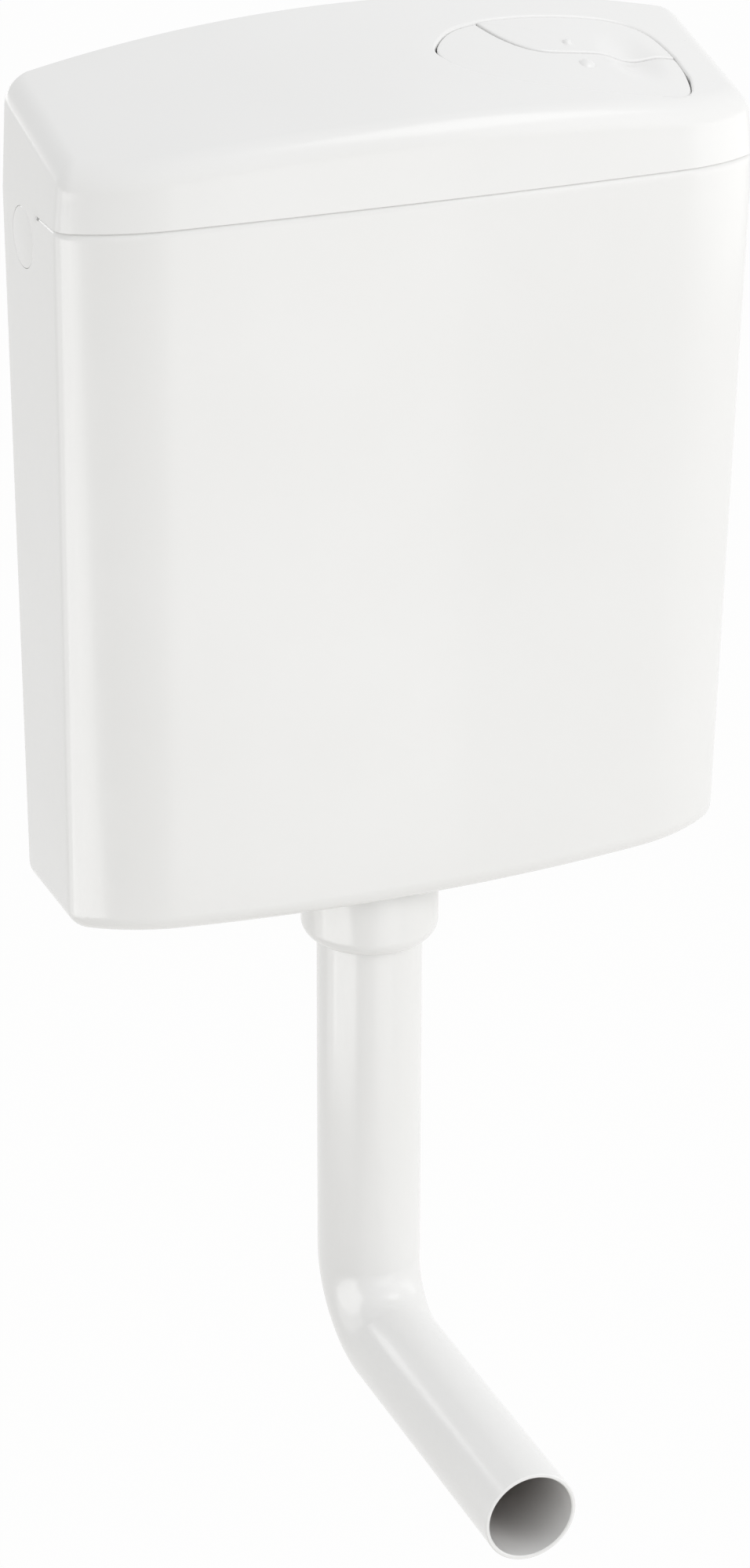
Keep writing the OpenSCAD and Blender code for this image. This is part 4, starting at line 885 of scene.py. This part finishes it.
def spring_mesh(name, node, turns):
    """Round wire coiled inside the box of a spring's solid."""
    sides = 12
    steps = 32
    low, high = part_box(node)
    middle = (low + high) / 2 / MM
    coil_r = (high.x - low.x) / MM / 2 - SPRING_WIRE_R
    bottom = low.z / MM + HANG_Z + SPRING_WIRE_R
    rise = (high.z - low.z) / MM - 2 * SPRING_WIRE_R
    rings = []
    for k in range(int(turns * steps) + 1):
        share = k / (turns * steps)
        a = 2 * math.pi * turns * share
        out = np.array((math.cos(a), math.sin(a), 0))
        ring = []
        for b in np.linspace(0, 2 * math.pi, sides, endpoint=False):
            centre = np.array((middle.x, middle.y, bottom + rise * share)) + out * coil_r
            turned = math.cos(b) * out + math.sin(b) * np.array((0, 0, 1))
            ring.append(centre + SPRING_WIRE_R * turned)
        rings.append(ring)
    ends = [np.mean(rings[0], axis=0), np.mean(rings[-1], axis=0)]
    return loft(name, rings, caps=ends)


def make_springs(material):
    for side, turns in SPRING_TURNS.items():
        node = f"{side}_return_spring"
        spring = spring_mesh(f"{side}_coil", node, turns)
        dress(spring, "cover", "plain_steel", material, node)
        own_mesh(spring)


# Finishes


def node_setup(name):
    material = bpy.data.materials.new(name)
    material.use_nodes = True
    nodes, links = material.node_tree.nodes, material.node_tree.links
    return material, nodes, links, nodes["Principled BSDF"]


def noise(nodes, links, scale, detail):
    """Noise fixed to the object's own place, so that it doesn't slide."""
    place = nodes.new("ShaderNodeTexCoord")
    texture = nodes.new("ShaderNodeTexNoise")
    texture.inputs["Scale"].default_value = scale
    texture.inputs["Detail"].default_value = detail
    links.new(place.outputs["Object"], texture.inputs["Vector"])
    return texture.outputs["Fac"]


def spread(nodes, links, value, low, high):
    """Maps noise to a range."""
    scale = nodes.new("ShaderNodeMapRange")
    scale.inputs["From Min"].default_value = 0.3
    scale.inputs["From Max"].default_value = 0.7
    scale.inputs["To Min"].default_value = low
    scale.inputs["To Max"].default_value = high
    links.new(value, scale.inputs["Value"])
    return scale.outputs["Result"]


def tint(nodes, links, value, low, high):
    """Blends two near colours by noise."""
    ramp = nodes.new("ShaderNodeValToRGB")
    ramp.color_ramp.elements[0].position = 0.35
    ramp.color_ramp.elements[1].position = 0.65
    ramp.color_ramp.elements[0].color = (*low, 1)
    ramp.color_ramp.elements[1].color = (*high, 1)
    links.new(value, ramp.inputs["Fac"])
    return ramp.outputs["Color"]


def bump(nodes, links, value, distance, strength):
    raised = nodes.new("ShaderNodeBump")
    raised.inputs["Distance"].default_value = distance
    raised.inputs["Strength"].default_value = strength
    links.new(value, raised.inputs["Height"])
    return raised.outputs["Normal"]


def plastic(name, colour, shade, roughness, coat, ripple, grain, inside=None):
    """Moulded plastic: a faint drift of colour and gloss, and the fine ripple of the mould.

    A piece that carries a painted shade share on its points is darkened there towards the given shade
    colour: shade painted into the colour.
    """
    material, nodes, links, shader = node_setup(name)
    shader.inputs["IOR"].default_value = PLASTIC_IOR
    shader.inputs["Coat Weight"].default_value = coat
    shader.inputs["Coat Roughness"].default_value = COAT_ROUGHNESS
    drift = noise(nodes, links, DRIFT_SCALE, 2)
    surface = tint(nodes, links, drift, shade, colour)
    if inside:
        # Painted shade: blends the colour towards the shade colour by the share stored on the points
        share = nodes.new("ShaderNodeAttribute")
        share.attribute_name = "inside"
        blend = nodes.new("ShaderNodeMixRGB")
        links.new(share.outputs["Fac"], blend.inputs["Fac"])
        links.new(surface, blend.inputs["Color1"])
        blend.inputs["Color2"].default_value = (*inside, 1)
        surface = blend.outputs["Color"]
    links.new(surface, shader.inputs["Base Color"])
    gloss = noise(nodes, links, GLOSS_SCALE, 3)
    links.new(spread(nodes, links, gloss, *roughness), shader.inputs["Roughness"])
    mould = noise(nodes, links, grain, 2)
    links.new(bump(nodes, links, mould, PLASTIC_BUMP, ripple), shader.inputs["Normal"])
    return material


def rubber(name):
    material, nodes, links, shader = node_setup(name)
    speck = noise(nodes, links, RUBBER_SCALE, 3)
    colour = tint(nodes, links, speck, (0.012, 0.012, 0.013), (0.022, 0.022, 0.024))
    links.new(colour, shader.inputs["Base Color"])
    links.new(spread(nodes, links, speck, 0.55, 0.72), shader.inputs["Roughness"])
    links.new(bump(nodes, links, speck, RUBBER_BUMP, 0.25), shader.inputs["Normal"])
    return material


def steel(name):
    """Drawn stainless wire and rod, with fine marks along it."""
    material, nodes, links, shader = node_setup(name)
    shader.inputs["Metallic"].default_value = 1.0
    marks = noise(nodes, links, STEEL_SCALE, 4)
    colour = tint(nodes, links, marks, (0.5, 0.51, 0.52), (0.6, 0.61, 0.62))
    links.new(colour, shader.inputs["Base Color"])
    links.new(spread(nodes, links, marks, 0.24, 0.38), shader.inputs["Roughness"])
    links.new(bump(nodes, links, marks, STEEL_BUMP, 0.2), shader.inputs["Normal"])
    return material


def finishes():
    """One material for each slot of the record."""
    glossy = {"roughness": (0.2, 0.27), "coat": 0.35, "ripple": 0.05, "grain": 160}
    matt = {"roughness": (0.4, 0.5), "coat": 0.0, "ripple": 0.12, "grain": 900}
    return {
        "cistern_white": plastic("cistern_white", WHITE, WHITE_SHADE, **glossy),
        "button_white": plastic("button_white", WHITE, WHITE_SHADE, **glossy),
        # The pipe's finish carries the shade painted on its inner wall
        "pipe_white": plastic("pipe_white", WHITE, WHITE_SHADE, inside=PIPE_PAINTED_SHADE, **glossy),
        "mech_natural": plastic("mech_natural", (0.7, 0.71, 0.68), (0.66, 0.67, 0.64), **matt),
        "mech_grey": plastic("mech_grey", (0.34, 0.36, 0.38), (0.31, 0.33, 0.35), **matt),
        "mech_blue": plastic("mech_blue", (0.09, 0.24, 0.47), (0.08, 0.21, 0.43), **matt),
        "float_white": plastic("float_white", (0.83, 0.81, 0.75), (0.79, 0.77, 0.7), **matt),
        "seal_rubber": rubber("seal_rubber"),
        "plain_steel": steel("plain_steel"),
    }


def finish_solids(materials):
    """Gives each solid that still shows the finish of its slot."""
    for part in frame["record"]["subparts"]:
        for place in NODES[part["node"]].material_slots:
            place.material = materials[part["material_slot"]]


# Light, floor and camera


def seen_directly(nodes, links):
    """1 for rays from the camera and for reflections, 0 for rays that light the object."""
    path = nodes.new("ShaderNodeLightPath")
    total = path.outputs["Is Camera Ray"]
    for kind in ("Is Glossy Ray", "Is Transmission Ray"):
        larger = nodes.new("ShaderNodeMath")
        larger.operation = "MAXIMUM"
        links.new(total, larger.inputs[0])
        links.new(path.outputs[kind], larger.inputs[1])
        total = larger.outputs[0]
    return total


def set_world():
    world = bpy.data.worlds.new("studio")
    bpy.context.scene.world = world
    world.use_nodes = True
    nodes, links = world.node_tree.nodes, world.node_tree.links
    back = nodes["Background"]
    level = nodes.new("ShaderNodeMapRange")
    level.inputs["To Min"].default_value = FILL_LEVEL
    level.inputs["To Max"].default_value = 1.0
    links.new(seen_directly(nodes, links), level.inputs["Value"])
    links.new(level.outputs["Result"], back.inputs["Strength"])
    back.inputs["Color"].default_value = (1, 1, 1, 1)


def make_floor():
    """Pale floor well below the pipe. It shows white to the camera, with a trace of the shadow left."""
    half = FLOOR_HALF
    z = CAD_BOX[0].z - FLOOR_DROP
    corners = [(-half, -half, z), (half, -half, z), (half, half, z), (-half, half, z)]
    mesh = bpy.data.meshes.new("floor")
    mesh.from_pydata(corners, [], [(0, 1, 2, 3)])
    floor = bpy.data.objects.new("floor", mesh)
    bpy.context.collection.objects.link(floor)
    material, nodes, links, shader = node_setup("floor")
    shader.inputs["Base Color"].default_value = (*FLOOR_COLOUR, 1)
    shader.inputs["Roughness"].default_value = FLOOR_ROUGHNESS
    glow = nodes.new("ShaderNodeEmission")
    blend = nodes.new("ShaderNodeMixShader")
    share = nodes.new("ShaderNodeMath")
    share.operation = "MULTIPLY"
    share.inputs[1].default_value = FLOOR_WHITE
    links.new(seen_directly(nodes, links), share.inputs[0])
    links.new(share.outputs[0], blend.inputs["Fac"])
    links.new(shader.outputs["BSDF"], blend.inputs[1])
    links.new(glow.outputs["Emission"], blend.inputs[2])
    links.new(blend.outputs["Shader"], nodes["Material Output"].inputs["Surface"])
    mesh.materials.append(material)


def area_light(name, turn, rise, distance, size, power, reflected):
    """Soft box that faces the object. One that is reflected shows only in reflections and lights nothing."""
    lamp = bpy.data.lights.new(name, "AREA")
    lamp.shape = "RECTANGLE"
    lamp.size, lamp.size_y = size
    lamp.energy = power
    light = bpy.data.objects.new(name, lamp)
    light.visible_camera = False
    light.visible_diffuse = not reflected
    light.visible_glossy = reflected
    a, b = math.radians(turn), math.radians(rise)
    away = Vector((math.sin(a) * math.cos(b), -math.cos(a) * math.cos(b), math.sin(b)))
    light.location = Vector(LIT_FROM) + away * distance
    light.rotation_euler = (-away).to_track_quat("-Z", "Y").to_euler()
    bpy.context.collection.objects.link(light)


def set_lights():
    for name, values in LAMPS.items():
        area_light(name, *values)


def set_camera():
    azimuth = math.radians(CAMERA_AZIMUTH)
    elevation = math.radians(CAMERA_ELEVATION)
    roll = math.radians(CAMERA_ROLL)
    run = math.cos(elevation)
    forward = Vector((math.sin(azimuth) * run, math.cos(azimuth) * run, -math.sin(elevation)))
    level = Vector((math.cos(azimuth), -math.sin(azimuth), 0))
    upright = level.cross(forward)
    right = math.cos(roll) * level + math.sin(roll) * upright
    up = right.cross(forward)
    lens = bpy.data.cameras.new("camera")
    lens.sensor_width = SENSOR_MM
    lens.lens = FOCAL_PX / PHOTO_H_PX * SENSOR_MM
    camera = bpy.data.objects.new("camera", lens)
    turn = Matrix((right, up, -forward)).transposed().to_4x4()
    camera.matrix_world = Matrix.Translation(Vector(to_frame([CAMERA_AT])[0])) @ turn
    bpy.context.collection.objects.link(camera)
    bpy.context.scene.camera = camera


materials = finishes()
finish_solids(materials)
make_tank(materials["cistern_white"])
make_lid(materials["cistern_white"])
make_cap(materials["cistern_white"])
make_buttons(materials["button_white"])
make_pipe(materials["pipe_white"])
make_collar(materials["pipe_white"])
make_springs(materials["plain_steel"])
set_world()
make_floor()
set_lights()
set_camera()
bpy.context.scene.view_settings.view_transform = "Standard"
